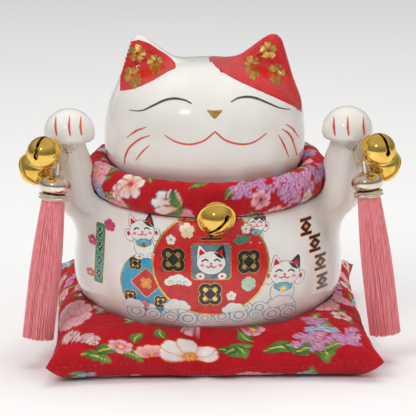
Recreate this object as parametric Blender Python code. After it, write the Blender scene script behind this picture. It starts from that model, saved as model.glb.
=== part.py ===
"""A beckoning cat figurine: a glazed hollow ceramic cat on a square cushion, with a padded collar and
its bell, and on each raised paw a wire ring, a link ring, two jingle bells and a tassel.

Metres, +Z up. The cat faces -Y, and the origin is on the floor under the middle of the cushion.
"""

import math

import bmesh
import bpy
import numpy as np
from mathutils import Matrix, Vector

MM = 0.001
GAP = 0.3 * MM  # what neighbouring solids keep between them
SIDES = {"left": -1.0, "right": 1.0}  # the paw's side, as seen from the front, and its sign along X

# The cat: centres, half-widths along X and Y, and heights above and below the widest level
BODY_CENTRE = (0, 0, 58 * MM)
BODY_HALF = (98 * MM, 90 * MM)
BODY_RISE = 89 * MM
BODY_DROP = 55 * MM
HEAD_CENTRE = (-1.5 * MM, -2 * MM, 152 * MM)
HEAD_HALF = (72.7 * MM, 63 * MM)
HEAD_RISE = 56.5 * MM
HEAD_DROP = 44 * MM
LEAN = 1 * MM  # how far the head and the paws stand to the left, as seen from the front
BASE_Z = 14 * MM
WALL = 4 * MM
FLOOR_WALL = 6.5 * MM

# Ears, arms and paws, on the +X side: the other side mirrors them
EAR_OUTER = ((64 * MM, 0, 190 * MM), (1, 0, 0.29))  # a point on each edge's plane, and its normal
EAR_INNER = ((22 * MM, 0, 207.5 * MM), (-0.62, 0, 0.785))
EAR_Y = 6 * MM
EAR_HALF_T = 15 * MM  # half the ear's thickness at EAR_LOW, and how fast it thins upwards
EAR_LOW = 188 * MM
EAR_TAPER = 0.24
EAR_ROUND = (12.5 * MM, 9 * MM)
DISH_INSET = 6.5 * MM
DISH_DEPTH = 1.8 * MM
SHOULDER, SHOULDER_R = (66 * MM, -8 * MM, 90 * MM), 27 * MM
ELBOW, ELBOW_R = (94 * MM, -16 * MM, 116 * MM), 16.5 * MM
WRIST, WRIST_R = (101 * MM, -25 * MM, 149 * MM), 13.5 * MM
PAW_CENTRE, PAW_HALF = (99.5 * MM, -32 * MM, 162 * MM), (18.3 * MM, 19 * MM, 17.5 * MM)
PAW_LEDGE_Z = 156.5 * MM
TAIL_CENTRE, TAIL_HALF = (20 * MM, 82 * MM, 56 * MM), (15 * MM, 17 * MM, 14 * MM)

# The base's vent hole and its plug
VENT_R = 16 * MM
VENT_RECESS_R = 20.5 * MM
VENT_RECESS = 2.6 * MM

# The collar
COLLAR_CENTRE = (-1 * MM, -2 * MM, 126.5 * MM)
COLLAR_HALF = (78 * MM, 72.5 * MM)
COLLAR_T = 9.6 * MM  # half its thickness, and half its height
COLLAR_H = 12 * MM
COLLAR_DROP = 4.5 * MM  # how far the front hangs below the middle
COLLAR_CLEARANCE = 1.0 * MM
COLLAR_PARTING = math.radians(2.2)  # half the parting at the back
SLEEVE_CLOTH = 0.8 * MM

# The cushion
CUSHION_HALF = 110 * MM
CUSHION_EAR = 8.5 * MM  # how far the corners stand out beyond the pulled-in sides
CUSHION_TOP = 37 * MM
CUSHION_SEAM = 21 * MM
CUSHION_CLOTH = 1.2 * MM
TOP_CURVE = 30 * MM  # how far in from the seam the top and the underside are rounded
UNDERSIDE_CURVE = 18 * MM
CUSHION_SPOKES = 32
CUSHION_RINGS = (0.45, 0.64, 0.72, 0.79, 0.86, 0.93, 1, 1.3, 1.6, 1.85, 2)
DENT_REACH = 92 * MM
DENT_CLEARANCE = 1.2 * MM

# Jingle bells
BELL_R = 12 * MM
BELL_WALL = 0.7 * MM
BELL_FLANGE = 1.4 * MM
FLANGE_T = 0.65 * MM
SLOT_HALF = 8.6 * MM  # from the pole to the centre of a round slot end
SLOT_W = 2.4 * MM
SLOT_END_R = 1.9 * MM
SHANK_R = 3 * MM  # the wire loop on the crown
SHANK_WIRE = 0.6 * MM
SHANK_CENTRE = BELL_R + 1.2 * MM
PELLET_R = 3 * MM

# The rings on each paw
WIRE_R = 0.55 * MM
PAW_RING_R = 4.6 * MM
LINK_RING_R = 8.5 * MM
PAW_RING_CENTRE = (101.2 * MM, -44 * MM, 154.3 * MM)
PAW_RING_TURN = math.radians(15)
TUNNEL_R = 1.7 * MM
LINK_TURN = math.radians(15)
LINK_TILT = math.radians(50.7)  # the link ring's foot leans forward
LINK_ENTRY = math.radians(135)  # where on the link ring the paw ring holds it

# Where the bells and the tassel hang on the link ring, and which way they point from there
BELL_ANGLES = {"front": math.radians(-69.5), "back": math.radians(-1.4)}
BELL_AIMS = {"front": (0.287, -0.589, 0.755), "back": (0.435, 0.56, -0.706)}
BELL_ROLLS = {"front": math.radians(10), "back": math.radians(60)}
TASSEL_ANGLE = math.radians(-104.4)
TASSEL_AIM = (0.122, -0.087, -0.989)
COLLAR_BELL_AIM = (0.05, -0.91, -0.41)
COLLAR_BELL_ROLL = math.radians(48)
REACH = SHANK_CENTRE + SHANK_R - SHANK_WIRE - WIRE_R - 0.2 * MM  # bell centre to the wire that holds it

# The tassel, down its own axis from the link ring's wire
BAIL_R = 2.7 * MM
BAIL_TOP = 2.6 * MM
BAIL_HOLE_R = 1.8 * MM
BAIL_BORE_TILT = math.radians(16)  # the bore follows the link ring's wire
CAP_DEPTH = 13.5 * MM
CAP_HALF = (11.7 * MM, 7.8 * MM)
CAP_WALL = 1.2 * MM
CAP_MOUTH = 5.8 * MM
RIM_TOP = 19.6 * MM
RIM_FOOT = 24 * MM
RIM_R = 10.4 * MM
RIM_BORE_R = 8 * MM
SKIRT_FOOT = 124.5 * MM
SKIRT_FOOT_R = 11.3 * MM

COLOURS = {  # base colour, roughness, metallic
    "glazed_white": ((0.86, 0.84, 0.80), 0.12, 0.0),
    "floral_cloth": ((0.62, 0.02, 0.03), 0.85, 0.0),
    "wadding": ((0.85, 0.85, 0.82), 0.95, 0.0),
    "gold": ((0.83, 0.56, 0.12), 0.15, 1.0),
    "steel": ((0.62, 0.62, 0.60), 0.25, 1.0),
    "pale_gold": ((0.80, 0.70, 0.56), 0.15, 1.0),
    "pink_thread": ((0.85, 0.24, 0.28), 0.6, 0.0),
    "red_thread": ((0.55, 0.02, 0.03), 0.7, 0.0),
    "plug_rubber": ((0.75, 0.74, 0.70), 0.5, 0.0),
}


# ---- helpers ----


def clear_scene():
    for obj in list(bpy.data.objects):
        bpy.data.objects.remove(obj, do_unlink=True)


def material(name):
    found = bpy.data.materials.get(name)
    if found:
        return found
    made = bpy.data.materials.new(name)
    made.use_nodes = True
    colour, roughness, metallic = COLOURS[name]
    shader = made.node_tree.nodes["Principled BSDF"]
    shader.inputs["Base Color"].default_value = (*colour, 1)
    shader.inputs["Roughness"].default_value = roughness
    shader.inputs["Metallic"].default_value = metallic
    made.diffuse_color = (*colour, 1)
    return made


def mesh_from(name, points, faces):
    """A mesh of these points and faces, its faces turned outwards."""
    mesh = bpy.data.meshes.new(name)
    mesh.from_pydata([tuple(map(float, p)) for p in points], [], faces)
    shape = bmesh.new()
    shape.from_mesh(mesh)
    bmesh.ops.recalc_face_normals(shape, faces=shape.faces)
    if shape.calc_volume(signed=True) < 0:
        bmesh.ops.reverse_faces(shape, faces=shape.faces)
    shape.to_mesh(mesh)
    shape.free()
    mesh.shade_smooth()
    mesh.set_sharp_from_angle(angle=math.radians(40))
    return mesh


def place(name, mesh, finish, frame=None, parent=None):
    """An object with its material, at a frame in its parent's space."""
    obj = bpy.data.objects.new(name, mesh)
    bpy.context.scene.collection.objects.link(obj)
    if not mesh.materials:
        mesh.materials.append(material(finish))
    if parent:
        obj.parent = parent
    obj.matrix_local = frame or Matrix.Identity(4)
    return obj


def empty(name, frame, parent=None):
    obj = bpy.data.objects.new(name, None)
    bpy.context.scene.collection.objects.link(obj)
    if parent:
        obj.parent = parent
    obj.matrix_world = frame
    return obj


def cutter(name, mesh):
    obj = place(name, mesh, "steel")
    obj.hide_render = True
    obj.display_type = "WIRE"
    return obj


def cut(obj, tool):
    made = obj.modifiers.new(tool.name, "BOOLEAN")
    made.operation = "DIFFERENCE"
    made.object = tool


def applied(obj):
    """The object's mesh with its modifiers applied. The object itself goes."""
    bpy.context.view_layer.update()
    graph = bpy.context.evaluated_depsgraph_get()
    mesh = bpy.data.meshes.new_from_object(obj.evaluated_get(graph))
    bpy.data.objects.remove(obj, do_unlink=True)
    return mesh


def frame_at(point, up, across):
    """A frame at point whose Z is up and whose Y is across, as nearly as up allows."""
    z = Vector(up).normalized()
    y = Vector(across)
    y = (y - z * y.dot(z)).normalized()
    x = y.cross(z)
    rotation = Matrix((x, y, z)).transposed()
    return Matrix.Translation(Vector(point)) @ rotation.to_4x4()


def skinned(name, rings, closed=False):
    """A tube through rings of as many points each. It ends in flat caps, or closes on itself."""
    count, across = len(rings), len(rings[0])
    points = [p for ring in rings for p in ring]
    faces = []
    for i in range(count if closed else count - 1):
        here, there = i * across, (i + 1) % count * across
        for j in range(across):
            k = (j + 1) % across
            faces.append((here + j, here + k, there + k, there + j))
    if not closed:
        faces.append(tuple(range(across)))
        faces.append(tuple(range((count - 1) * across, count * across)))
    return mesh_from(name, points, faces)


def turned(name, outline, segments, closed=False):
    """A solid turned about Z from an outline of (radius, height).

    An open outline starts and ends on the axis. A closed one stays clear of it.
    """
    rows = []
    points, faces = [], []
    for radius, height in outline:
        on_axis = radius < 1e-9
        angles = [0] if on_axis else [math.tau * k / segments for k in range(segments)]
        rows.append([len(points) + k for k in range(len(angles))])
        points += [(radius * math.cos(a), radius * math.sin(a), height) for a in angles]
    pairs = list(zip(rows, rows[1:] + rows[:1])) if closed else list(zip(rows, rows[1:]))
    for here, there in pairs:
        for k in range(segments):
            corners = [
                here[k % len(here)],
                here[(k + 1) % len(here)],
                there[(k + 1) % len(there)],
                there[k % len(there)],
            ]
            faces.append(tuple(dict.fromkeys(corners)))
    return mesh_from(name, points, faces)


def ring(name, radius, wire, segments, sides):
    """A wire ring in the XY plane."""
    section = [
        (radius + wire * math.cos(math.tau * k / sides), wire * math.sin(math.tau * k / sides))
        for k in range(sides)
    ]
    return turned(name, section, segments, closed=True)


def arc(radius, start, end, steps):
    """(radius, height) points along an arc about the origin, angles in degrees from the equator."""
    angles = [math.radians(start + (end - start) * k / steps) for k in range(steps + 1)]
    return [(radius * math.cos(a), radius * math.sin(a)) for a in angles]


# ---- the cat's form, as a distance field: negative inside ----


def smooth_union(a, b, blend):
    share = np.clip(0.5 + 0.5 * (b - a) / blend, 0, 1)
    return b * (1 - share) + a * share - blend * share * (1 - share)


def smooth_cut(a, b, blend):
    """a with b taken away."""
    return -smooth_union(-a, b, blend)


def rounded_body(points, centre, half, rise, drop, fullness):
    """A form that is elliptical in plan, with a height above and another below its centre."""
    p = points - np.array(centre)
    plan = np.hypot(p[:, 0] / half[0], p[:, 1] / half[1])
    level = np.abs(p[:, 2]) / np.where(p[:, 2] > 0, rise, drop)
    size = np.maximum((plan**fullness + level**fullness) ** (1 / fullness), 1e-6)
    return np.linalg.norm(p, axis=1) * (1 - 1 / size)


def ellipsoid(points, centre, half):
    p = (points - np.array(centre)) / np.array(half)
    size = np.maximum(np.linalg.norm(p, axis=1), 1e-6)
    slope = np.maximum(np.linalg.norm(p / np.array(half), axis=1), 1e-6)
    return size * (size - 1) / slope


def tapered_limb(points, start, start_r, end, end_r):
    a, b = np.array(start), np.array(end)
    along = np.clip((points - a) @ (b - a) / np.dot(b - a, b - a), 0, 1)
    centre = a + along[:, None] * (b - a)
    return np.linalg.norm(points - centre, axis=1) - (start_r + along * (end_r - start_r))


def collar_line(angle):
    """A point on the collar's middle line. Angle 0 is at +X, and a quarter turn on is the back."""
    x, y = COLLAR_HALF[0] * math.cos(angle), COLLAR_HALF[1] * math.sin(angle)
    lift = COLLAR_DROP * math.sin(angle)
    return Vector(COLLAR_CENTRE) + Vector((x, y, lift))


def collar_distance(points):
    """Distance to the surface of the space that the collar takes."""
    p = points - np.array(COLLAR_CENTRE)
    angle = np.arctan2(p[:, 1] / COLLAR_HALF[1], p[:, 0] / COLLAR_HALF[0])
    line = np.stack(
        [
            COLLAR_HALF[0] * np.cos(angle),
            COLLAR_HALF[1] * np.sin(angle),
            COLLAR_DROP * np.sin(angle),
        ],
        axis=1,
    )
    offset = (p - line) * [1, 1, COLLAR_T / COLLAR_H]
    return np.linalg.norm(offset, axis=1) - COLLAR_T - COLLAR_CLEARANCE


def ear(points):
    """A rounded triangle that thins towards its tip, with a shallow dish in its front."""
    edges = []
    for point, normal in (EAR_OUTER, EAR_INNER):
        unit = np.array(normal) / np.linalg.norm(normal)
        edges.append((points - np.array(point)) @ unit)
    outline = -smooth_union(-edges[0], -edges[1], EAR_ROUND[0])
    half = EAR_HALF_T - EAR_TAPER * (points[:, 2] - EAR_LOW)
    dish = DISH_DEPTH * np.clip((-outline - DISH_INSET) / (3 * MM), 0, 1)
    front = EAR_Y - points[:, 1] - half + dish
    back = points[:, 1] - EAR_Y - half
    thickness = np.maximum(np.maximum(front, back), EAR_LOW - 12 * MM - points[:, 2])
    return -smooth_union(-outline, -thickness, EAR_ROUND[1])


def cat_field(points):
    leaning = points.copy()
    leaning[:, 0] += LEAN * np.clip((points[:, 2] - 75 * MM) / (75 * MM), 0, 1)
    mirrored = np.abs(leaning) * [1, 0, 0] + leaning * [0, 1, 1]
    body = rounded_body(points, BODY_CENTRE, BODY_HALF, BODY_RISE, BODY_DROP, 2.2)
    upper_arm = tapered_limb(mirrored, SHOULDER, SHOULDER_R, ELBOW, ELBOW_R)
    forearm = tapered_limb(mirrored, ELBOW, ELBOW_R, WRIST, WRIST_R)
    arm = smooth_union(upper_arm, forearm, 8 * MM)
    paw = ellipsoid(mirrored, PAW_CENTRE, PAW_HALF)
    paw = smooth_cut(paw, mirrored[:, 2] - PAW_LEDGE_Z, 3 * MM)
    limb = smooth_union(arm, paw, 4 * MM)
    figure = smooth_union(body, limb, 10 * MM)
    figure = smooth_union(figure, ellipsoid(points, TAIL_CENTRE, TAIL_HALF), 6 * MM)

    head = rounded_body(leaning, HEAD_CENTRE, HEAD_HALF, HEAD_RISE, HEAD_DROP, 2.5)
    head = smooth_union(head, ear(mirrored), 7 * MM)

    figure = smooth_union(figure, head, 3 * MM)
    figure = smooth_cut(figure, collar_distance(points), 1.5 * MM)
    return smooth_cut(figure, points[:, 2] - BASE_Z, 3 * MM)


def hollow_field(points):
    """The space inside the slip-cast wall, with a thicker floor."""
    return np.maximum(cat_field(points) + WALL, BASE_Z + FLOOR_WALL - points[:, 2])


def draw_onto(field, points, rounds=4):
    """Moves points along the field's slope onto its surface."""
    step = 0.05 * MM
    for _ in range(rounds):
        here = field(points)
        slope = np.stack(
            [(field(points + step * e) - field(points - step * e)) / (2 * step) for e in np.eye(3)],
            axis=1,
        )
        steepness = np.maximum((slope**2).sum(1), 1e-3)
        points = points - slope * (here / steepness)[:, None]
    return points


def grid_skin(name, field, low, high, step):
    """The surface where the field is zero: one point in each grid cell that it crosses, joined by quads."""
    axes = [np.arange(low[k], high[k] + step, step) for k in range(3)]
    grid = np.stack(np.meshgrid(*axes, indexing="ij"), axis=-1)
    inside = (field(grid.reshape(-1, 3)) < 0).reshape(grid.shape[:3])
    cells = [n - 1 for n in inside.shape]
    filled = np.zeros(cells, int)
    for i, j, k in np.ndindex(2, 2, 2):
        filled += inside[i : i + cells[0], j : j + cells[1], k : k + cells[2]]
    crossed = (filled > 0) & (filled < 8)
    number = np.full(crossed.shape, -1)
    number[crossed] = np.arange(crossed.sum())
    points = grid[:-1, :-1, :-1][crossed] + step / 2
    faces = []
    for axis in range(3):
        first, second = (axis + 1) % 3, (axis + 2) % 3
        before = np.take(inside, range(inside.shape[axis] - 1), axis)
        after = np.take(inside, range(1, inside.shape[axis]), axis)
        for cell in np.argwhere(before != after):
            around = []
            for i, j in ((0, 0), (-1, 0), (-1, -1), (0, -1)):
                corner = cell.copy()
                corner[first] += i
                corner[second] += j
                around.append(int(number[tuple(corner)]))
            faces.append(tuple(around if before[tuple(cell)] else around[::-1]))
    return mesh_from(name, draw_onto(field, points), faces)


def closes_cleanly(mesh):
    shape = bmesh.new()
    shape.from_mesh(mesh)
    clean = all(e.is_manifold for e in shape.edges) and all(v.is_manifold for v in shape.verts)
    shape.free()
    return clean


def skin_of(name, field, low, high, step):
    """The grid is nudged until no two parts of the surface meet along an edge."""
    for nudge in range(12):
        start = (low[0], low[1] - 0.37 * nudge * MM, low[2] - 0.53 * nudge * MM)
        mesh = grid_skin(name, field, start, high, step)
        if closes_cleanly(mesh):
            return mesh
    return mesh


def without_pockets(mesh):
    """The mesh with only its largest piece left."""
    shape = bmesh.new()
    shape.from_mesh(mesh)
    left, pieces = set(shape.verts), []
    while left:
        piece, edge = set(), [left.pop()]
        while edge:
            vert = edge.pop()
            piece.add(vert)
            for link in vert.link_edges:
                other = link.other_vert(vert)
                if other in left:
                    left.discard(other)
                    edge.append(other)
        pieces.append(piece)
    pieces.sort(key=len)
    spare = [v for piece in pieces[:-1] for v in piece]
    bmesh.ops.delete(shape, geom=spare, context="VERTS")
    shape.to_mesh(mesh)
    shape.free()
    return mesh


def thinned(obj, share):
    made = obj.modifiers.new("thin", "DECIMATE")
    made.ratio = share


# ---- the cat ----


def paw_ring_frame(side):
    """The paw ring's frame: Z along the ring's axis, Y up."""
    outward = Vector((side * math.cos(PAW_RING_TURN), -math.sin(PAW_RING_TURN), 0))
    centre = Vector((side * PAW_RING_CENTRE[0], *PAW_RING_CENTRE[1:]))
    return frame_at(centre, outward.cross((0, 0, 1)), (0, 0, 1))


def cat_shell():
    low, high = (-126 * MM, -106 * MM, 3 * MM), (126 * MM, 108 * MM, 232 * MM)
    shell = place("cat_shell", skin_of("cat_shell", cat_field, low, high, 4.5 * MM), "glazed_white")
    thinned(shell, 0.135)
    low = (-126 * MM, -105 * MM, 5 * MM)
    space = without_pockets(skin_of("cat_hollow", hollow_field, low, high, 6 * MM))
    hollow = cutter("cat_hollow", space)
    thinned(hollow, 0.12)
    cut(shell, hollow)
    top = BASE_Z + FLOOR_WALL
    bore = [
        (0, BASE_Z - 2 * MM),
        (VENT_RECESS_R, BASE_Z - 2 * MM),
        (VENT_RECESS_R, BASE_Z + VENT_RECESS),
        (VENT_R, BASE_Z + VENT_RECESS),
        (VENT_R, top + 3 * MM),
        (0, top + 3 * MM),
    ]
    cut(shell, cutter("vent_bore", turned("vent_bore", bore, 20)))
    for word, side in SIDES.items():
        tunnel = cutter(f"tunnel_{word}", ring(f"tunnel_{word}", PAW_RING_R, TUNNEL_R, 16, 8))
        tunnel.matrix_world = paw_ring_frame(side)
        cut(shell, tunnel)


def vent_plug():
    floor = BASE_Z + GAP
    flange = BASE_Z + VENT_RECESS - GAP
    outline = [
        (0, floor),
        (VENT_RECESS_R - 1.2 * MM, floor),
        (VENT_RECESS_R - 1.2 * MM, flange),
        (VENT_R - 0.4 * MM, flange),
        (VENT_R - 1.2 * MM, BASE_Z + FLOOR_WALL + 2 * MM),
        (0, BASE_Z + FLOOR_WALL + 2 * MM),
    ]
    place("vent_plug", turned("vent_plug", outline, 20), "plug_rubber")


# ---- the collar ----


def collar_section(angle, depth, sides, start=0.0, sweep=math.tau, whole=True):
    """Points round the collar's oval section, at a depth below its surface."""
    centre = collar_line(angle)
    along = (collar_line(angle + 0.01) - collar_line(angle - 0.01)).normalized()
    outward = along.cross((0, 0, 1)).normalized()
    up = outward.cross(along)
    turns = [start + sweep * k / (sides if whole else sides - 1) for k in range(sides)]
    thick, high = COLLAR_T - depth, COLLAR_H - depth
    return [centre + thick * math.cos(t) * outward + high * math.sin(t) * up for t in turns]


def collar_angles(steps):
    """From one side of the parting at the back, round the front, to the other."""
    start = math.pi / 2 + COLLAR_PARTING
    sweep = math.tau - 2 * COLLAR_PARTING
    return [start + sweep * k / steps for k in range(steps + 1)]


def collar():
    steps, sides = 26, 8
    sleeve = []
    for angle in collar_angles(steps):
        sleeve.append(
            collar_section(angle, 0, sides) + collar_section(angle, SLEEVE_CLOTH, sides)
        )
    points = [p for row in sleeve for p in row]
    across = 2 * sides
    faces = []
    for i in range(steps):
        here, there = i * across, (i + 1) * across
        for layer in (0, sides):
            for j in range(sides):
                k = (j + 1) % sides
                a, b = layer + j, layer + k
                faces.append((here + a, here + b, there + b, there + a))
    for row in (0, steps * across):
        for j in range(sides):
            k = (j + 1) % sides
            faces.append((row + j, row + k, row + sides + k, row + sides + j))
    place("collar_sleeve", mesh_from("collar_sleeve", points, faces), "floral_cloth")
    roll = [collar_section(a, SLEEVE_CLOTH + GAP, sides) for a in collar_angles(steps)]
    place("collar_wadding", skinned("collar_wadding", roll), "wadding")


def collar_tab():
    """The cloth tab that holds the collar's two ends together behind the neck."""
    reach, sides = math.radians(13), 7
    rows = []
    for k in range(7):
        angle = math.pi / 2 - reach + 2 * reach * k / 6
        start, sweep = math.radians(-62), math.radians(124)
        inner = collar_section(angle, -1.8 * GAP, sides, start, sweep, whole=False)
        outer = collar_section(angle, -1.8 * GAP - 1.2 * MM, sides, start, sweep, whole=False)
        rows.append(inner + outer[::-1])
    place("collar_tab", skinned("collar_tab", rows), "floral_cloth")


def collar_bell_pivot():
    front = collar_line(-math.pi / 2)
    standoff = COLLAR_T + 3 * MM
    return Vector((0.7 * MM, front.y - standoff, front.z - 0.8 * MM))


def collar_stitch(pivot):
    """The thread that the collar's bell hangs on: a half ring whose feet meet the collar."""
    bow, thread, sides, steps = 2.6 * MM, 0.45 * MM, 6, 8
    rows = []
    for k in range(steps + 1):
        angle = math.pi + math.pi * k / steps
        out = Vector((math.cos(angle), math.sin(angle), 0))
        centre = pivot + Vector((0, bow, 0)) + out * bow
        row = []
        for j in range(sides):
            turn = math.tau * j / sides
            row.append(centre + thread * (math.cos(turn) * out + math.sin(turn) * Vector((0, 0, 1))))
        rows.append(row)
    place("collar_stitch", skinned("collar_stitch", rows), "red_thread")


# ---- jingle bells ----


def bell_meshes():
    """The four pieces of a bell, about its centre: +Z to the shank, -Z to the slot."""
    inner = BELL_R - BELL_WALL
    flange_r = BELL_R + BELL_FLANGE
    seam = 0.15 * MM
    start = math.degrees(math.asin((seam + FLANGE_T) / BELL_R))
    inner_start = math.degrees(math.asin(seam / inner))
    crown = [
        (0, BELL_R),
        *arc(BELL_R, 90, start, 4)[1:],
        (flange_r - 0.3 * MM, seam + FLANGE_T),
        (flange_r - 0.3 * MM, seam),
        *arc(inner, inner_start, 90, 3)[:-1],
        (0, inner),
    ]
    base = [
        (0, -BELL_R),
        *arc(BELL_R, -90, -start, 4)[1:],
        (flange_r, -seam - FLANGE_T),
        (flange_r, -seam),
        *arc(inner, -inner_start, -90, 3)[:-1],
        (0, -inner),
    ]
    crown_part = place("crown_blank", turned("bell_crown", crown, 16), "gold")
    loop_frame = Matrix.Translation((0, 0, SHANK_CENTRE)) @ Matrix.Rotation(math.pi / 2, 4, "X")
    hole = cutter("shank_hole", ring("shank_hole", SHANK_R, SHANK_WIRE + 0.25 * MM, 12, 6))
    hole.matrix_world = loop_frame
    cut(crown_part, hole)
    base_part = place("base_blank", turned("bell_base", base, 16), "gold")
    cut(base_part, cutter("slot", slot_mesh()))
    shank = ring("bell_shank", SHANK_R, SHANK_WIRE, 12, 6)
    shank.transform(loop_frame)
    pellet = bmesh.new()
    bmesh.ops.create_icosphere(pellet, subdivisions=2, radius=PELLET_R)
    pellet_mesh = bpy.data.meshes.new("bell_pellet")
    pellet.to_mesh(pellet_mesh)
    pellet.free()
    pellet_mesh.shade_smooth()
    return {
        "crown": applied(crown_part),
        "base": applied(base_part),
        "shank": shank,
        "pellet": pellet_mesh,
    }


def slot_mesh():
    """The slot's cutter: a straight slot with a round hole at each end, down through the lower half."""
    half_w = SLOT_W / 2
    open_angle = math.asin(half_w / SLOT_END_R)
    outline = []
    for sign in (1, -1):
        for k in range(7):
            angle = -math.pi + open_angle + 2 * (math.pi - open_angle) * k / 6
            outline.append(
                (
                    sign * (SLOT_HALF + SLOT_END_R * math.cos(angle)),
                    sign * SLOT_END_R * math.sin(angle),
                )
            )
    rings = [[(x, y, z) for x, y in outline] for z in (-BELL_R - 1 * MM, -2.2 * MM)]
    return skinned("slot", rings)


def hang_bell(name, pivot, aim, wire, roll, meshes):
    """A bell on the wire at pivot. Aim points from the wire through the bell's centre to its slot."""
    aim = Vector(aim).normalized()
    holder = empty(f"{name}_pivot", frame_at(pivot, -aim, wire))
    middle = Matrix.Translation((0, 0, -REACH))
    for part in ("crown", "shank"):
        place(f"{name}_{part}", meshes[part], "gold", middle, holder)
    place(f"{name}_base", meshes["base"], "gold", middle @ Matrix.Rotation(roll, 4, "Z"), holder)
    centre = pivot + aim * REACH
    lowest = BELL_R - BELL_WALL - PELLET_R - 2 * GAP
    resting = Matrix.Translation(centre - Vector((0, 0, lowest)))
    place(f"{name}_pellet", meshes["pellet"], "steel", resting)


# ---- the paws' rings and tassels ----


def link_axes(side):
    """The link ring's outward and upward directions in its own plane."""
    outward = Vector((side * math.cos(LINK_TURN), math.sin(LINK_TURN), 0))
    upward = Vector((0, math.sin(LINK_TILT), math.cos(LINK_TILT)))
    upward = (upward - outward * upward.dot(outward)).normalized()
    return outward, upward


def link_centre(side):
    """The link ring hangs through the paw ring, just above its lowest wire."""
    held = PAW_RING_R - 2 * WIRE_R - 0.5 * MM
    paw = paw_ring_frame(side)
    outward_x = Vector((side * math.cos(PAW_RING_TURN), -math.sin(PAW_RING_TURN), 0))
    entry = paw.translation + held * (0.5 * outward_x - 0.866 * Vector((0, 0, 1)))
    outward, upward = link_axes(side)
    return entry - LINK_RING_R * (math.cos(LINK_ENTRY) * outward + math.sin(LINK_ENTRY) * upward)


def on_link(side, angle):
    """A point on the link ring's wire and the wire's direction there."""
    outward, upward = link_axes(side)
    point = link_centre(side) + LINK_RING_R * (math.cos(angle) * outward + math.sin(angle) * upward)
    return point, math.cos(angle) * upward - math.sin(angle) * outward


def mirrored_aim(aim, side):
    return Vector((side * aim[0], aim[1], aim[2]))


def tassel_meshes():
    """The five pieces of a tassel, hanging down -Z from the link ring's wire at the origin."""
    bail = [
        (0, BAIL_TOP),
        (BAIL_R, BAIL_TOP),
        (BAIL_R, -CAP_DEPTH + CAP_HALF[1] - 1.9 * MM),
        (BAIL_R + 1.1 * MM, -CAP_DEPTH + CAP_HALF[1] - 1.9 * MM),
        (BAIL_R + 1.1 * MM, -CAP_DEPTH + CAP_HALF[1] - 3 * MM),
        (0, -CAP_DEPTH + CAP_HALF[1] - 3 * MM),
    ]
    bail_part = place("bail_blank", turned("tassel_bail", bail, 12), "pale_gold")
    bore = turned("bail_bore", [(0, -6 * MM), (BAIL_HOLE_R, -6 * MM), (BAIL_HOLE_R, 6 * MM), (0, 6 * MM)], 8)
    bore.transform(Matrix.Rotation(math.pi / 2 - BAIL_BORE_TILT, 4, "X"))
    cut(bail_part, cutter("bail_bore", bore))

    neck = BAIL_R + GAP
    outer, inner = [], []
    for layer, inset in ((outer, 0), (inner, CAP_WALL)):
        half, rise = CAP_HALF[0] - inset, CAP_HALF[1] - inset
        first, last = math.acos(neck / half), -math.asin(CAP_MOUTH / CAP_HALF[1])
        for k in range(6):
            angle = first + (last - first) * k / 5
            layer.append((half * math.cos(angle), rise * math.sin(angle) - CAP_DEPTH))
    cap = turned("tassel_cap", outer + inner[::-1], 16, closed=True)

    middle_r = (RIM_R + RIM_BORE_R) / 2
    rim = [
        (RIM_BORE_R, -RIM_TOP - GAP),
        (middle_r, -RIM_TOP),
        (RIM_R, -RIM_TOP - 1.3 * MM),
        (RIM_R, -RIM_FOOT + 1.3 * MM),
        (middle_r, -RIM_FOOT),
        (RIM_BORE_R, -RIM_FOOT + GAP),
    ]
    head_r = 5.2 * MM
    head_top = CAP_DEPTH - 3 * MM
    skirt = [
        (0, -head_top),
        (head_r, -head_top),
        (head_r, -CAP_DEPTH - 4.6 * MM),
        (RIM_BORE_R - GAP, -RIM_TOP - 1 * MM),
        (RIM_BORE_R - GAP, -RIM_FOOT - 0.5 * MM),
        (RIM_BORE_R + 0.9 * MM, -RIM_FOOT - 3 * MM),
        (SKIRT_FOOT_R - 1 * MM, -0.62 * SKIRT_FOOT),
        (SKIRT_FOOT_R, -SKIRT_FOOT),
        (0, -SKIRT_FOOT),
    ]
    binding = [
        (head_r + GAP, -head_top - 1 * MM),
        (head_r + 1.1 * MM, -head_top - 1.4 * MM),
        (head_r + 1.1 * MM, -CAP_DEPTH - 3.4 * MM),
        (head_r + GAP, -CAP_DEPTH - 3.8 * MM),
    ]
    return {
        "bail": (applied(bail_part), "pale_gold"),
        "cap": (cap, "pale_gold"),
        "rim": (turned("tassel_rim", rim, 16, closed=True), "pale_gold"),
        "binding": (turned("tassel_binding", binding, 14, closed=True), "pink_thread"),
        "skirt": (turned("tassel_skirt", skirt, 16), "pink_thread"),
    }


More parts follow.
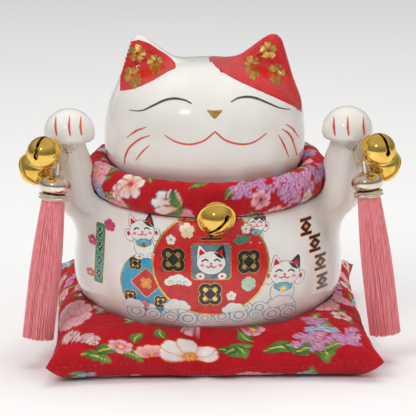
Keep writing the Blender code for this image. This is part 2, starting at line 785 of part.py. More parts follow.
def paw_ornament(word, side, bells, tassels):
    paw = paw_ring_frame(side)
    swing_point = paw.translation + Vector((0, 0, 0.75 * PAW_RING_R))
    ring_pivot = empty(f"paw_ring_{word}_pivot", Matrix.Translation(swing_point))
    offset = Matrix.Translation(-swing_point) @ paw
    name = f"paw_ring_{word}"
    place(name, ring(name, PAW_RING_R, WIRE_R, 16, 6), "steel", offset, ring_pivot)

    outward, upward = link_axes(side)
    link = frame_at(link_centre(side), outward.cross(upward), upward)
    held_at = on_link(side, LINK_ENTRY)[0]
    link_pivot = empty(f"link_ring_{word}_pivot", Matrix.Translation(held_at))
    offset = Matrix.Translation(-held_at) @ link
    name = f"link_ring_{word}"
    place(name, ring(name, LINK_RING_R, WIRE_R, 24, 6), "gold", offset, link_pivot)

    for which in ("front", "back"):
        point, wire = on_link(side, BELL_ANGLES[which])
        aim = mirrored_aim(BELL_AIMS[which], side)
        hang_bell(f"{which}_bell_{word}", point, aim, wire, side * BELL_ROLLS[which], bells)

    point, wire = on_link(side, TASSEL_ANGLE)
    pivot = empty(f"tassel_{word}_pivot", frame_at(point, -mirrored_aim(TASSEL_AIM, side), wire))
    for part, (mesh, finish) in tassels.items():
        place(f"tassel_{part}_{word}", mesh, finish, None, pivot)


# ---- the cushion ----


def belly_height(x, y):
    """How high the cushion may come under the cat, which keeps clear of it all over."""
    half_x, half_y = (half + DENT_CLEARANCE for half in BODY_HALF)
    plan = min(math.hypot(x / half_x, y / half_y), 1)
    under = BODY_CENTRE[2] - (BODY_DROP + DENT_CLEARANCE) * (1 - plan**2.2) ** (1 / 2.2)
    return max(under, BASE_Z - DENT_CLEARANCE)


def rounding(x, y, width):
    """How full the cushion is at a point: 0 at its seam, and 1 from a width inside it."""
    full = CUSHION_HALF + CUSHION_EAR
    share = 1
    for here, other in ((x, y), (y, x)):
        inboard = CUSHION_HALF + CUSHION_EAR * min(abs(other) / full, 1) ** 4 - abs(here)
        share *= math.sqrt(1 - (1 - min(max(inboard, 0) / width, 1)) ** 2)
    return share


def cushion_height(x, y, upper):
    if not upper:
        return (CUSHION_SEAM - GAP / 2) * (1 - rounding(x, y, UNDERSIDE_CURVE))
    puffed = CUSHION_SEAM + GAP / 2 + (CUSHION_TOP - CUSHION_SEAM) * rounding(x, y, TOP_CURVE)
    return min(puffed, belly_height(x, y))


def cushion_sheet(upper, depth, inset):
    """Rings of points over the cushion's top or underside, at a depth below its surface.

    They are circles under the cat and take on the cushion's own outline outside it.
    """
    sheet = []
    step = 0.2 * MM
    for share in CUSHION_RINGS:
        for k in range(CUSHION_SPOKES):
            angle = math.tau * k / CUSHION_SPOKES
            c, s = math.cos(angle), math.sin(angle)
            longest = max(abs(c), abs(s))
            u, v = c / longest, s / longest
            half = CUSHION_HALF - inset
            rim = (u * (half + CUSHION_EAR * v**4), v * (half + CUSHION_EAR * u**4))
            inner = min(share, 1) * DENT_REACH
            blend = max(share - 1, 0)
            x, y = (inner * a * (1 - blend) + blend * r for a, r in zip((c, s), rim))
            height = cushion_height(x, y, upper)
            rise_x = (height - cushion_height(x * (1 - 1e-3), y, upper)) / (abs(x) * 1e-3 + 1e-9)
            rise_y = (height - cushion_height(x, y * (1 - 1e-3), upper)) / (abs(y) * 1e-3 + 1e-9)
            steep = min(math.sqrt(1 + rise_x**2 + rise_y**2), 3)
            height += (-1 if upper else 1) * depth * steep
            sheet.append((x, y, height))
    sheet.append((0, 0, cushion_height(0, 0, upper) + (-depth if upper else depth)))
    return sheet


def closed_sheets(name, first, second):
    """A solid between two sheets of rings, joined round their rims."""
    spokes, rows = CUSHION_SPOKES, len(CUSHION_RINGS)
    faces = []
    for base in (0, len(first)):
        middle = base + rows * spokes
        for k in range(spokes):
            j = (k + 1) % spokes
            faces.append((base + k, base + j, middle))
            for i in range(rows - 1):
                a, b = base + i * spokes, base + (i + 1) * spokes
                faces.append((a + k, a + j, b + j, b + k))
    rim = (rows - 1) * spokes
    for k in range(spokes):
        j = (k + 1) % spokes
        faces.append((rim + k, rim + j, len(first) + rim + j, len(first) + rim + k))
    return mesh_from(name, first + second, faces)


def cushion():
    for name, upper in (("cushion_top_panel", True), ("cushion_bottom_panel", False)):
        outside = cushion_sheet(upper, 0, 0)
        inside = cushion_sheet(upper, CUSHION_CLOTH, 1.6 * MM)
        place(name, closed_sheets(name, outside, inside), "floral_cloth")
    depth = CUSHION_CLOTH + 6 * GAP
    top, under = (cushion_sheet(upper, depth, 9 * MM) for upper in (True, False))
    place("cushion_wadding", closed_sheets("cushion_wadding", top, under), "wadding")


def main():
    clear_scene()
    cushion()
    cat_shell()
    vent_plug()
    collar()
    collar_tab()
    pivot = collar_bell_pivot()
    collar_stitch(pivot)
    bells = bell_meshes()
    hang_bell("collar_bell", pivot, COLLAR_BELL_AIM, (1, 0, 0), COLLAR_BELL_ROLL, bells)
    tassels = tassel_meshes()
    for word, side in SIDES.items():
        paw_ornament(word, side, bells, tassels)


main()
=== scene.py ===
# The looks of a beckoning cat figurine: a glazed cat with raised enamel on a printed cushion, its padded
# collar and bell, and on each raised paw two rings, two bells and a silk tassel. Metres, +Z up, front at -Y.

import math
import random

import bmesh
import bpy
import numpy as np
from mathutils import Matrix, Vector
from mathutils.bvhtree import BVHTree
from mathutils.geometry import delaunay_2d_cdt


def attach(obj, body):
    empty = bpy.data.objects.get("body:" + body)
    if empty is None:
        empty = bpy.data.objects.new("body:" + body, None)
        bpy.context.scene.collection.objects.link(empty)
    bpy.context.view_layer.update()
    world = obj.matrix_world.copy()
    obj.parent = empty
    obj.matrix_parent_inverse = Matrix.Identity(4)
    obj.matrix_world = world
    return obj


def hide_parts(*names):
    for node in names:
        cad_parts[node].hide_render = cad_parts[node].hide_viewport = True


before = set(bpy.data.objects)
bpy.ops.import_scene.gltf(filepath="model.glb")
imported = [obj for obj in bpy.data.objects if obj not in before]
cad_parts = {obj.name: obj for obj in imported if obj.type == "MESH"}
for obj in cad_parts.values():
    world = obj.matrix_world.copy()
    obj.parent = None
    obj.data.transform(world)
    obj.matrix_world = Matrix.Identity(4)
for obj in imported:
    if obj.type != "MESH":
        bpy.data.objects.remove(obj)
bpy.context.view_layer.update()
scene = bpy.context.scene

MM = 0.001
GAP = 0.3 * MM
SIDES = {"left": -1.0, "right": 1.0}  # the paw's side, as seen from the front, and its sign along X

# The cat's form, as the CAD model has it
BODY_CENTRE, BODY_HALF = (0, 0, 58 * MM), (98 * MM, 90 * MM)
BODY_RISE, BODY_DROP = 89 * MM, 55 * MM
HEAD_CENTRE, HEAD_HALF = (-1.5 * MM, -2 * MM, 152 * MM), (72.7 * MM, 63 * MM)
HEAD_RISE, HEAD_DROP = 56.5 * MM, 44 * MM
LEAN = 1 * MM
BASE_Z = 14 * MM
EAR_OUTER = ((64 * MM, 0, 190 * MM), (1, 0, 0.29))  # a point on each edge's plane, and its normal
EAR_INNER = ((22 * MM, 0, 207.5 * MM), (-0.62, 0, 0.785))
EAR_Y, EAR_HALF_T, EAR_LOW, EAR_TAPER = 6 * MM, 15 * MM, 188 * MM, 0.24
EAR_ROUND = (12.5 * MM, 9 * MM)
DISH_INSET, DISH_DEPTH = 6.5 * MM, 1.8 * MM
SHOULDER, SHOULDER_R = (66 * MM, -8 * MM, 90 * MM), 27 * MM
ELBOW, ELBOW_R = (94 * MM, -16 * MM, 116 * MM), 16.5 * MM
WRIST, WRIST_R = (101 * MM, -25 * MM, 149 * MM), 13.5 * MM
PAW_CENTRE, PAW_HALF = (99.5 * MM, -32 * MM, 162 * MM), (18.3 * MM, 19 * MM, 17.5 * MM)
PAW_LEDGE_Z = 156.5 * MM
TAIL_CENTRE, TAIL_HALF = (20 * MM, 82 * MM, 56 * MM), (15 * MM, 17 * MM, 14 * MM)
VENT_RECESS_R, VENT_RECESS = 20.5 * MM, 2.6 * MM

# The collar
COLLAR_CENTRE, COLLAR_HALF = (-1 * MM, -2 * MM, 126.5 * MM), (78 * MM, 72.5 * MM)
COLLAR_T, COLLAR_H = 9.6 * MM, 12 * MM
COLLAR_DROP, COLLAR_CLEARANCE = 4.5 * MM, 1 * MM
COLLAR_PARTING = math.radians(2.2)

# The cushion
CUSHION_HALF, CUSHION_EAR = 110 * MM, 8.5 * MM
CUSHION_TOP, CUSHION_SEAM = 37 * MM, 21 * MM
TOP_CURVE, UNDERSIDE_CURVE = 30 * MM, 18 * MM
DENT_REACH, DENT_CLEARANCE = 92 * MM, 1.2 * MM
# Towards the front the seam droops, in millimetres, and more round two middles along X
FRONT_DROOP, FRONT_DROOPS = 7, ((9, -7, 26), (4, 52, 30))  # each: its depth, its middle and its width
FRONT_LOW, FRONT_CORNERS = 9.5, 4.0  # the front's crest lies this much lower, and less so at the corners

# Bells
BELL_R, BELL_WALL, BELL_FLANGE, FLANGE_T = 12 * MM, 0.7 * MM, 1.4 * MM, 0.65 * MM
SLOT_HALF, SLOT_W, SLOT_END_R = 8.6 * MM, 2.4 * MM, 1.9 * MM
SHANK_R, SHANK_WIRE = 3 * MM, 0.6 * MM
SHANK_CENTRE = BELL_R + 1.2 * MM

# The rings on each paw, and where the bells and the tassel hang on the link ring
WIRE_R, PAW_RING_R, LINK_RING_R = 0.55 * MM, 4.6 * MM, 8.5 * MM
PAW_RING_CENTRE = (101.2 * MM, -44 * MM, 154.3 * MM)
PAW_RING_TURN, TUNNEL_R = math.radians(15), 1.7 * MM
LINK_TURN, LINK_TILT, LINK_ENTRY = math.radians(15), math.radians(50.7), math.radians(135)
BELL_ANGLES = {"front": math.radians(-69.5), "back": math.radians(-1.4)}
BELL_AIMS = {"front": (0.287, -0.589, 0.755), "back": (0.435, 0.56, -0.706)}
BELL_ROLLS = {"front": math.radians(10), "back": math.radians(60)}
TASSEL_ANGLE, TASSEL_AIM = math.radians(-104.4), (0.122, -0.087, -0.989)
COLLAR_BELL_AIM, COLLAR_BELL_ROLL = (0.05, -0.91, -0.41), math.radians(48)
REACH = SHANK_CENTRE + SHANK_R - SHANK_WIRE - WIRE_R - 0.2 * MM

# The tassel, down its own axis from the link ring's wire
BAIL_R, BAIL_TOP, BAIL_HOLE_R = 2.7 * MM, 2.6 * MM, 1.8 * MM
BAIL_BORE_TILT = math.radians(16)
CAP_DEPTH, CAP_HALF, CAP_WALL, CAP_MOUTH = 13.5 * MM, (11.7 * MM, 7.8 * MM), 1.2 * MM, 5.8 * MM
RIM_TOP, RIM_FOOT, RIM_R, RIM_BORE_R = 19.6 * MM, 24 * MM, 10.4 * MM, 8 * MM
SKIRT_FOOT, SKIRT_FOOT_R = 124.5 * MM, 11.3 * MM


# ---- materials ----


def new_material(name, colour, roughness, metallic=0.0, **sockets):
    """A Principled material and its tree. Socket names have _ for each space."""
    made = bpy.data.materials.new(name)
    made.use_nodes = True
    shader = made.node_tree.nodes["Principled BSDF"]
    values = {"Base Color": (*colour, 1), "Roughness": roughness, "Metallic": metallic}
    values.update({key.replace("_", " "): value for key, value in sockets.items()})
    for key, value in values.items():
        shader.inputs[key].default_value = value
    return made, made.node_tree, shader


def node(tree, kind, inputs=(), **settings):
    """A shader node. Its inputs are numbers, colours or other nodes' outputs."""
    made = tree.nodes.new("ShaderNode" + kind)
    for key, value in settings.items():
        setattr(made, key, value)
    for key, value in dict(inputs).items():
        if isinstance(value, bpy.types.NodeSocket):
            tree.links.new(value, made.inputs[key])
        else:
            made.inputs[key].default_value = value
    return made


def noise(tree, scale, detail=3.0, stretch=(1, 1, 1)):
    """Noise in the piece's own space, with this many cells to the metre."""
    place = node(tree, "TexCoord").outputs["Object"]
    place = node(tree, "Mapping", {"Vector": place, "Scale": stretch}).outputs["Vector"]
    return node(tree, "TexNoise", {"Vector": place, "Scale": scale, "Detail": detail}).outputs["Fac"]


def ranged(tree, value, low, high):
    """A value from 0.3 to 0.7 stretched to the range from low to high."""
    return node(
        tree, "MapRange", {"Value": value, "From Min": 0.3, "From Max": 0.7, "To Min": low, "To Max": high}
    ).outputs["Result"]


def tinted(tree, shader, value, dark, light):
    """The base colour runs from dark to light with the value."""
    mix = node(tree, "MixRGB", {"Fac": value, "Color1": (*dark, 1), "Color2": (*light, 1)})
    tree.links.new(mix.outputs["Color"], shader.inputs["Base Color"])


def bumped(tree, shader, height, depth, strength=1.0, socket="Normal"):
    """Relief of this depth, in metres, from a height between 0 and 1."""
    bump = node(tree, "Bump", {"Height": height, "Distance": depth, "Strength": strength})
    tree.links.new(bump.outputs["Normal"], shader.inputs[socket])


def porcelain():
    made, tree, shader = new_material("porcelain", (0.86, 0.83, 0.78), 0.1, Coat_Weight=0.6)
    shader.inputs["Coat Roughness"].default_value = 0.04
    shader.inputs["Specular IOR Level"].default_value = 0.55
    tinted(tree, shader, ranged(tree, noise(tree, 26, 4), 0, 1), (0.80, 0.765, 0.705), (0.87, 0.85, 0.81))
    tree.links.new(ranged(tree, noise(tree, 90, 2), 0.08, 0.2), shader.inputs["Roughness"])
    bumped(tree, shader, noise(tree, 60, 1), 0.12 * MM)
    return made


def bisque():
    """The foot, where the glaze was wiped off."""
    made, tree, shader = new_material("bisque", (0.78, 0.74, 0.68), 0.75)
    tinted(tree, shader, ranged(tree, noise(tree, 300, 4), 0, 1), (0.66, 0.60, 0.52), (0.80, 0.76, 0.70))
    bumped(tree, shader, noise(tree, 1500, 3), 0.06 * MM)
    return made


def enamel(name, dark, light, roughness=0.18):
    """Fired enamel, a little uneven in colour where it lay thick or thin."""
    made, tree, shader = new_material(name, light, roughness, Coat_Weight=0.4)
    shader.inputs["Coat Roughness"].default_value = 0.08
    tinted(tree, shader, ranged(tree, noise(tree, 220, 3), 0, 1), dark, light)
    uneven = ranged(tree, noise(tree, 500, 2), roughness * 0.7, roughness * 1.5)
    tree.links.new(uneven, shader.inputs["Roughness"])
    bumped(tree, shader, noise(tree, 700, 2), 0.03 * MM)
    return made


def metal(name, dark, light, rough_low, rough_high, grain=120):
    """Plated metal: mirror bright, with faint clouding and handling marks."""
    made, tree, shader = new_material(name, light, rough_low, 1.0)
    tinted(tree, shader, ranged(tree, noise(tree, grain, 4), 0, 1), dark, light)
    tree.links.new(ranged(tree, noise(tree, grain * 3, 3), rough_low, rough_high), shader.inputs["Roughness"])
    bumped(tree, shader, noise(tree, grain * 6, 2), 0.012 * MM)
    return made


def cloth(name):
    """Printed cotton. Its colours come from the print attribute, and two sets of threads cross in it."""
    made, tree, shader = new_material(name, (0.6, 0.02, 0.03), 0.8, Sheen_Weight=0.06)
    shader.inputs["Sheen Roughness"].default_value = 0.4
    shader.inputs["Specular IOR Level"].default_value = 0.3
    colour = node(tree, "Attribute", attribute_name="print").outputs["Color"]
    place = node(tree, "TexCoord").outputs["Object"]
    threads = []
    for direction in ("X", "Z"):
        wave = node(
            tree,
            "TexWave",
            {"Vector": place, "Scale": 420, "Distortion": 1.2, "Detail": 2, "Detail Scale": 1.5},
            bands_direction=direction,
        )
        threads.append(wave.outputs["Fac"])
    weave = node(tree, "Math", {0: threads[0], 1: threads[1]}, operation="MAXIMUM").outputs["Value"]
    shade = node(tree, "MapRange", {"Value": weave, "To Min": 0.80, "To Max": 1.06}).outputs["Result"]
    fade = ranged(tree, noise(tree, 70, 5), 0.86, 1.08)
    shade = node(tree, "Math", {0: shade, 1: fade}, operation="MULTIPLY").outputs["Value"]
    mix = node(tree, "VectorMath", {0: colour, "Scale": shade}, operation="SCALE")
    tree.links.new(mix.outputs["Vector"], shader.inputs["Base Color"])
    tree.links.new(ranged(tree, noise(tree, 400, 2), 0.7, 0.92), shader.inputs["Roughness"])
    bumped(tree, shader, weave, 0.14 * MM)
    return made


def thread(name, dark, light, stretch=(1, 1, 0.03), roughness=0.45):
    """Silky thread: fine lengthwise streaks of colour and a soft sheen."""
    made, tree, shader = new_material(name, light, roughness, Sheen_Weight=0.5)
    shader.inputs["Sheen Roughness"].default_value = 0.35
    streak = noise(tree, 900, 3, stretch)
    tinted(tree, shader, ranged(tree, streak, 0, 1), dark, light)
    uneven = ranged(tree, noise(tree, 300, 2), roughness * 0.85, roughness * 1.2)
    tree.links.new(uneven, shader.inputs["Roughness"])
    bumped(tree, shader, streak, 0.1 * MM)
    return made


def rubber():
    made, tree, shader = new_material("plug_rubber", (0.72, 0.70, 0.66), 0.55)
    tinted(tree, shader, ranged(tree, noise(tree, 400, 4), 0, 1), (0.62, 0.60, 0.56), (0.76, 0.75, 0.71))
    bumped(tree, shader, noise(tree, 2500, 2), 0.05 * MM)
    return made


FINISHES = {}


def make_finishes():
    gold = {"dark": (0.60, 0.33, 0.05), "light": (0.98, 0.72, 0.22)}
    FINISHES.update(
        porcelain=porcelain(),
        bisque=bisque(),
        cloth=cloth("printed_cotton"),
        bell_gold=metal("bell_gold", (0.80, 0.47, 0.08), (1.0, 0.70, 0.17), 0.05, 0.14),
        ring_gold=metal("ring_gold", (0.72, 0.48, 0.16), (0.95, 0.72, 0.32), 0.12, 0.25),
        pale_gold=metal("pale_gold", (0.66, 0.53, 0.40), (0.93, 0.82, 0.68), 0.06, 0.18),
        steel=metal("steel", (0.45, 0.45, 0.44), (0.75, 0.75, 0.74), 0.15, 0.3),
        pink_silk=thread("pink_silk", (0.78, 0.17, 0.20), (0.95, 0.36, 0.38)),
        red_thread=thread("red_thread", (0.35, 0.005, 0.01), (0.62, 0.02, 0.03), (1, 1, 1)),
        plug_rubber=rubber(),
        gilt=metal("gilt", gold["dark"], gold["light"], 0.18, 0.4, 300),
        red=enamel("red_enamel", (0.50, 0.005, 0.008), (0.68, 0.015, 0.015)),
        coral=enamel("coral_enamel", (0.62, 0.06, 0.03), (0.75, 0.11, 0.06)),
        black=enamel("black_enamel", (0.008, 0.008, 0.009), (0.03, 0.028, 0.03)),
        grey=enamel("eye_enamel", (0.03, 0.035, 0.035), (0.10, 0.10, 0.09)),
        white=enamel("white_enamel", (0.78, 0.74, 0.70), (0.88, 0.86, 0.82)),
        blue=enamel("blue_enamel", (0.01, 0.14, 0.32), (0.04, 0.30, 0.52)),
        azure=enamel("azure_enamel", (0.02, 0.28, 0.50), (0.06, 0.40, 0.62)),
        sky=enamel("sky_enamel", (0.08, 0.36, 0.52), (0.22, 0.55, 0.68)),
        slate=enamel("slate_enamel", (0.10, 0.16, 0.20), (0.18, 0.26, 0.30)),
        green=enamel("green_enamel", (0.03, 0.18, 0.10), (0.10, 0.34, 0.20)),
        mint=enamel("mint_enamel", (0.30, 0.58, 0.50), (0.50, 0.74, 0.64)),
        pink=enamel("pink_enamel", (0.74, 0.16, 0.26), (0.88, 0.36, 0.44)),
        magenta=enamel("magenta_enamel", (0.55, 0.02, 0.16), (0.74, 0.07, 0.26)),
        orange=enamel("orange_enamel", (0.70, 0.18, 0.02), (0.88, 0.36, 0.05)),
        cream=enamel("cream_enamel", (0.74, 0.62, 0.42), (0.85, 0.76, 0.58)),
    )


# ---- meshes ----


def mesh_from(name, points, faces, crease=50):
    """A mesh of these points and faces, its faces turned outwards."""
    mesh = bpy.data.meshes.new(name)
    mesh.from_pydata([tuple(map(float, p)) for p in points], [], faces)
    shape = bmesh.new()
    shape.from_mesh(mesh)
    bmesh.ops.recalc_face_normals(shape, faces=shape.faces)
    if shape.calc_volume(signed=True) < 0:
        bmesh.ops.reverse_faces(shape, faces=shape.faces)
    shape.to_mesh(mesh)
    shape.free()
    mesh.shade_smooth()
    mesh.set_sharp_from_angle(angle=math.radians(crease))
    return mesh


def place(name, mesh, finish=None, matrix=None):
    """An object with its place in its mesh, as the CAD nodes have theirs."""
    if matrix:
        mesh = mesh.copy()
        mesh.transform(matrix)
    obj = bpy.data.objects.new(name, mesh)
    scene.collection.objects.link(obj)
    if finish and not mesh.materials:
        mesh.materials.append(FINISHES[finish])
    return obj


def settle(obj, body, slot, *nodes):
    """The piece rides on its body and stands for the CAD nodes. The slot is not used."""
    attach(obj, body)
    if nodes:
        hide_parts(*nodes)
    return obj


def cut(obj, tool_mesh, matrix=None):
    """Cuts the tool's shape out of the object for good."""
    tool = place("tool", tool_mesh, None, matrix)
    made = obj.modifiers.new("cut", "BOOLEAN")
    made.object = tool
    made.solver = "EXACT"
    bpy.context.view_layer.update()
    graph = bpy.context.evaluated_depsgraph_get()
    mesh = bpy.data.meshes.new_from_object(obj.evaluated_get(graph))
    obj.modifiers.remove(made)
    obj.data = mesh
    bpy.data.objects.remove(tool, do_unlink=True)
    return obj


def frame_at(point, up, across):
    """A frame at point whose Z is up and whose Y is across, as nearly as up allows."""
    z = Vector(up).normalized()
    y = Vector(across)
    y = (y - z * y.dot(z)).normalized()
    rotation = Matrix((y.cross(z), y, z)).transposed()
    return Matrix.Translation(Vector(point)) @ rotation.to_4x4()


def skinned(name, rings, closed=False, crease=50):
    """A tube through rings of as many points each. It ends in flat caps, or closes on itself."""
    count, across = len(rings), len(rings[0])
    faces = []
    for i in range(count if closed else count - 1):
        here, there = i * across, (i + 1) % count * across
        for j in range(across):
            k = (j + 1) % across
            faces.append((here + j, here + k, there + k, there + j))
    if not closed:
        faces.append(tuple(range(across)))
        faces.append(tuple(range((count - 1) * across, count * across)))
    return mesh_from(name, [p for ring in rings for p in ring], faces, crease)


def turned(name, outline, segments, closed=False, crease=50):
    """A solid turned about Z from (radius, height) points, from axis to axis or closed clear of it."""
    rows, points, faces = [], [], []
    for radius, height in outline:
        angles = [0] if radius < 1e-9 else [math.tau * k / segments for k in range(segments)]
        rows.append([len(points) + k for k in range(len(angles))])
        points += [(radius * math.cos(a), radius * math.sin(a), height) for a in angles]
    for here, there in zip(rows, rows[1:] + rows[:1] if closed else rows[1:]):
        for k in range(segments):
            ends = (here[k % len(here)], here[(k + 1) % len(here)])
            faces.append(tuple(dict.fromkeys((*ends, there[(k + 1) % len(there)], there[k % len(there)]))))
    return mesh_from(name, points, faces, crease)


def ring(name, radius, wire, segments=72, sides=14):
    """A wire ring in the XY plane."""
    turns = [math.tau * k / sides for k in range(sides)]
    return turned(name, [(radius + wire * math.cos(t), wire * math.sin(t)) for t in turns], segments, True)


def arc(radius, start, end, steps):
    """(radius, height) points along an arc about the origin, angles in degrees from the equator."""
    angles = [math.radians(start + (end - start) * k / steps) for k in range(steps + 1)]
    return [(radius * math.cos(a), radius * math.sin(a)) for a in angles]


# ---- the cat's form, as a distance field: negative inside ----


def smooth_union(a, b, blend):
    share = np.clip(0.5 + 0.5 * (b - a) / blend, 0, 1)
    return b * (1 - share) + a * share - blend * share * (1 - share)


def smooth_cut(a, b, blend):
    return -smooth_union(-a, b, blend)


def rounded_body(points, centre, half, rise, drop, fullness):
    """A form that is elliptical in plan, with a height above and another below its centre."""
    p = points - np.array(centre)
    plan = np.hypot(p[:, 0] / half[0], p[:, 1] / half[1])
    level = np.abs(p[:, 2]) / np.where(p[:, 2] > 0, rise, drop)
    size = np.maximum((plan**fullness + level**fullness) ** (1 / fullness), 1e-6)
    return np.linalg.norm(p, axis=1) * (1 - 1 / size)


def ellipsoid(points, centre, half):
    p = (points - np.array(centre)) / np.array(half)
    size = np.maximum(np.linalg.norm(p, axis=1), 1e-6)
    slope = np.maximum(np.linalg.norm(p / np.array(half), axis=1), 1e-6)
    return size * (size - 1) / slope


def tapered_limb(points, start, start_r, end, end_r):
    a, b = np.array(start), np.array(end)
    along = np.clip((points - a) @ (b - a) / np.dot(b - a, b - a), 0, 1)
    away = np.linalg.norm(points - a - along[:, None] * (b - a), axis=1)
    return away - (start_r + along * (end_r - start_r))


def collar_line(angle):
    """A point on the collar's middle line. Angle 0 is at +X, and a quarter turn on is the back."""
    x, y = COLLAR_HALF[0] * math.cos(angle), COLLAR_HALF[1] * math.sin(angle)
    return Vector(COLLAR_CENTRE) + Vector((x, y, COLLAR_DROP * math.sin(angle)))


def collar_distance(points):
    """Distance to the surface of the space that the collar takes."""
    p = points - np.array(COLLAR_CENTRE)
    angle = np.arctan2(p[:, 1] / COLLAR_HALF[1], p[:, 0] / COLLAR_HALF[0])
    sine = np.sin(angle)
    line = np.stack([COLLAR_HALF[0] * np.cos(angle), COLLAR_HALF[1] * sine, COLLAR_DROP * sine], axis=1)
    return np.linalg.norm((p - line) * [1, 1, COLLAR_T / COLLAR_H], axis=1) - COLLAR_T - COLLAR_CLEARANCE


def ear(points):
    """A rounded triangle that thins towards its tip, with a shallow dish in its front."""
    edges = [(points - np.array(p)) @ (np.array(n) / np.linalg.norm(n)) for p, n in (EAR_OUTER, EAR_INNER)]
    outline = -smooth_union(-edges[0], -edges[1], EAR_ROUND[0])
    half = EAR_HALF_T - EAR_TAPER * (points[:, 2] - EAR_LOW)
    dish = DISH_DEPTH * np.clip((-outline - DISH_INSET) / (3 * MM), 0, 1)
    front = EAR_Y - points[:, 1] - half + dish
    thickness = np.maximum(np.maximum(front, points[:, 1] - EAR_Y - half), EAR_LOW - 12 * MM - points[:, 2])
    return -smooth_union(-outline, -thickness, EAR_ROUND[1])


def cat_field(points):
    leaning = points.copy()
    leaning[:, 0] += LEAN * np.clip((points[:, 2] - 75 * MM) / (75 * MM), 0, 1)
    mirrored = np.abs(leaning) * [1, 0, 0] + leaning * [0, 1, 1]
    upper_arm = tapered_limb(mirrored, SHOULDER, SHOULDER_R, ELBOW, ELBOW_R)
    arm = smooth_union(upper_arm, tapered_limb(mirrored, ELBOW, ELBOW_R, WRIST, WRIST_R), 8 * MM)
    paw = smooth_cut(ellipsoid(mirrored, PAW_CENTRE, PAW_HALF), mirrored[:, 2] - PAW_LEDGE_Z, 3 * MM)
    figure = rounded_body(points, BODY_CENTRE, BODY_HALF, BODY_RISE, BODY_DROP, 2.2)
    figure = smooth_union(figure, smooth_union(arm, paw, 4 * MM), 10 * MM)
    figure = smooth_union(figure, ellipsoid(points, TAIL_CENTRE, TAIL_HALF), 6 * MM)
    head = rounded_body(leaning, HEAD_CENTRE, HEAD_HALF, HEAD_RISE, HEAD_DROP, 2.5)
    figure = smooth_union(figure, smooth_union(head, ear(mirrored), 7 * MM), 3 * MM)
    figure = smooth_cut(figure, collar_distance(points), 1.5 * MM)
    return smooth_cut(figure, points[:, 2] - BASE_Z, 3 * MM)


def slope_of(field, points):
    step = 0.05 * MM
    return np.stack(
        [(field(points + step * e) - field(points - step * e)) / (2 * step) for e in np.eye(3)], axis=1
    )


def draw_onto(field, points, rounds=4):
    """Moves points along the field's slope onto its surface."""
    for _ in range(rounds):
        slope = slope_of(field, points)
        points = points - slope * (field(points) / np.maximum((slope**2).sum(1), 1e-3))[:, None]
    return points


def grid_skin(name, field, low, high, step):
    """The surface where the field is zero: one point in each grid cell that it crosses, joined by quads."""
    axes = [np.arange(low[k], high[k] + step, step) for k in range(3)]
    grid = np.stack(np.meshgrid(*axes, indexing="ij"), axis=-1)
    inside = (field(grid.reshape(-1, 3)) < 0).reshape(grid.shape[:3])
    cells = [n - 1 for n in inside.shape]
    filled = np.zeros(cells, int)
    for i, j, k in np.ndindex(2, 2, 2):
        filled += inside[i : i + cells[0], j : j + cells[1], k : k + cells[2]]
    crossed = (filled > 0) & (filled < 8)
    number = np.full(crossed.shape, -1)
    number[crossed] = np.arange(crossed.sum())
    points = grid[:-1, :-1, :-1][crossed] + step / 2
    faces = []
    for axis in range(3):
        before = np.take(inside, range(inside.shape[axis] - 1), axis)
        after = np.take(inside, range(1, inside.shape[axis]), axis)
        found = np.argwhere(before != after)
        around = np.zeros((4, 3), int)
        around[[1, 2], (axis + 1) % 3] = -1
        around[[2, 3], (axis + 2) % 3] = -1
        corners = found[:, None, :] + around
        quads = number[corners[..., 0], corners[..., 1], corners[..., 2]]
        out = before[tuple(found.T)]
        faces += [tuple(q if o else q[::-1]) for q, o in zip(quads.tolist(), out.tolist())]
    return mesh_from(name, draw_onto(field, points), faces, 70)


# ---- the cat ----


def paw_ring_frame(side):
    """The paw ring's frame: Z along the ring's axis, Y up."""
    outward = Vector((side * math.cos(PAW_RING_TURN), -math.sin(PAW_RING_TURN), 0))
    centre = Vector((side * PAW_RING_CENTRE[0], *PAW_RING_CENTRE[1:]))
    return frame_at(centre, outward.cross((0, 0, 1)), (0, 0, 1))


def ceramic():
    """The glazed cat, with the vent's recess under it and a bore through each paw for its ring."""
    step = 2.4 * MM
    low, high = (-126 * MM, -106 * MM, 3 * MM), (126 * MM, 108 * MM, 232 * MM)
    cat = place("glazed_cat", grid_skin("glazed_cat", cat_field, low, high, step))
    for finish in ("porcelain", "bisque"):
        cat.data.materials.append(FINISHES[finish])
    floor = BASE_Z - 2 * MM
    recess_top = BASE_Z + VENT_RECESS
    recess = [(0, floor), (VENT_RECESS_R, floor), (VENT_RECESS_R, recess_top), (0, recess_top)]
    cut(cat, turned("recess", recess, 64))
    for side in SIDES.values():
        cut(cat, ring("tunnel", PAW_RING_R, TUNNEL_R, 48, 16), paw_ring_frame(side))
    for face in cat.data.polygons:
        face.material_index = int(face.normal.z < -0.97 and face.center.z < BASE_Z + 1.5 * MM)
    return settle(cat, "cat", "glazed_white", "cat_shell")


# ---- bells ----


def slot_mesh():
    """The slot's cutter: a straight slot with a round hole at each end, up through the lower half."""
    open_angle = math.asin(SLOT_W / 2 / SLOT_END_R)
    outline = []
    for sign in (1, -1):
        for k in range(17):
            angle = -math.pi + open_angle + 2 * (math.pi - open_angle) * k / 16
            reach = SLOT_HALF + SLOT_END_R * math.cos(angle)
            outline.append((sign * reach, sign * SLOT_END_R * math.sin(angle)))
    return skinned("slot", [[(x, y, z) for x, y in outline] for z in (-BELL_R - 1 * MM, -2.2 * MM)])


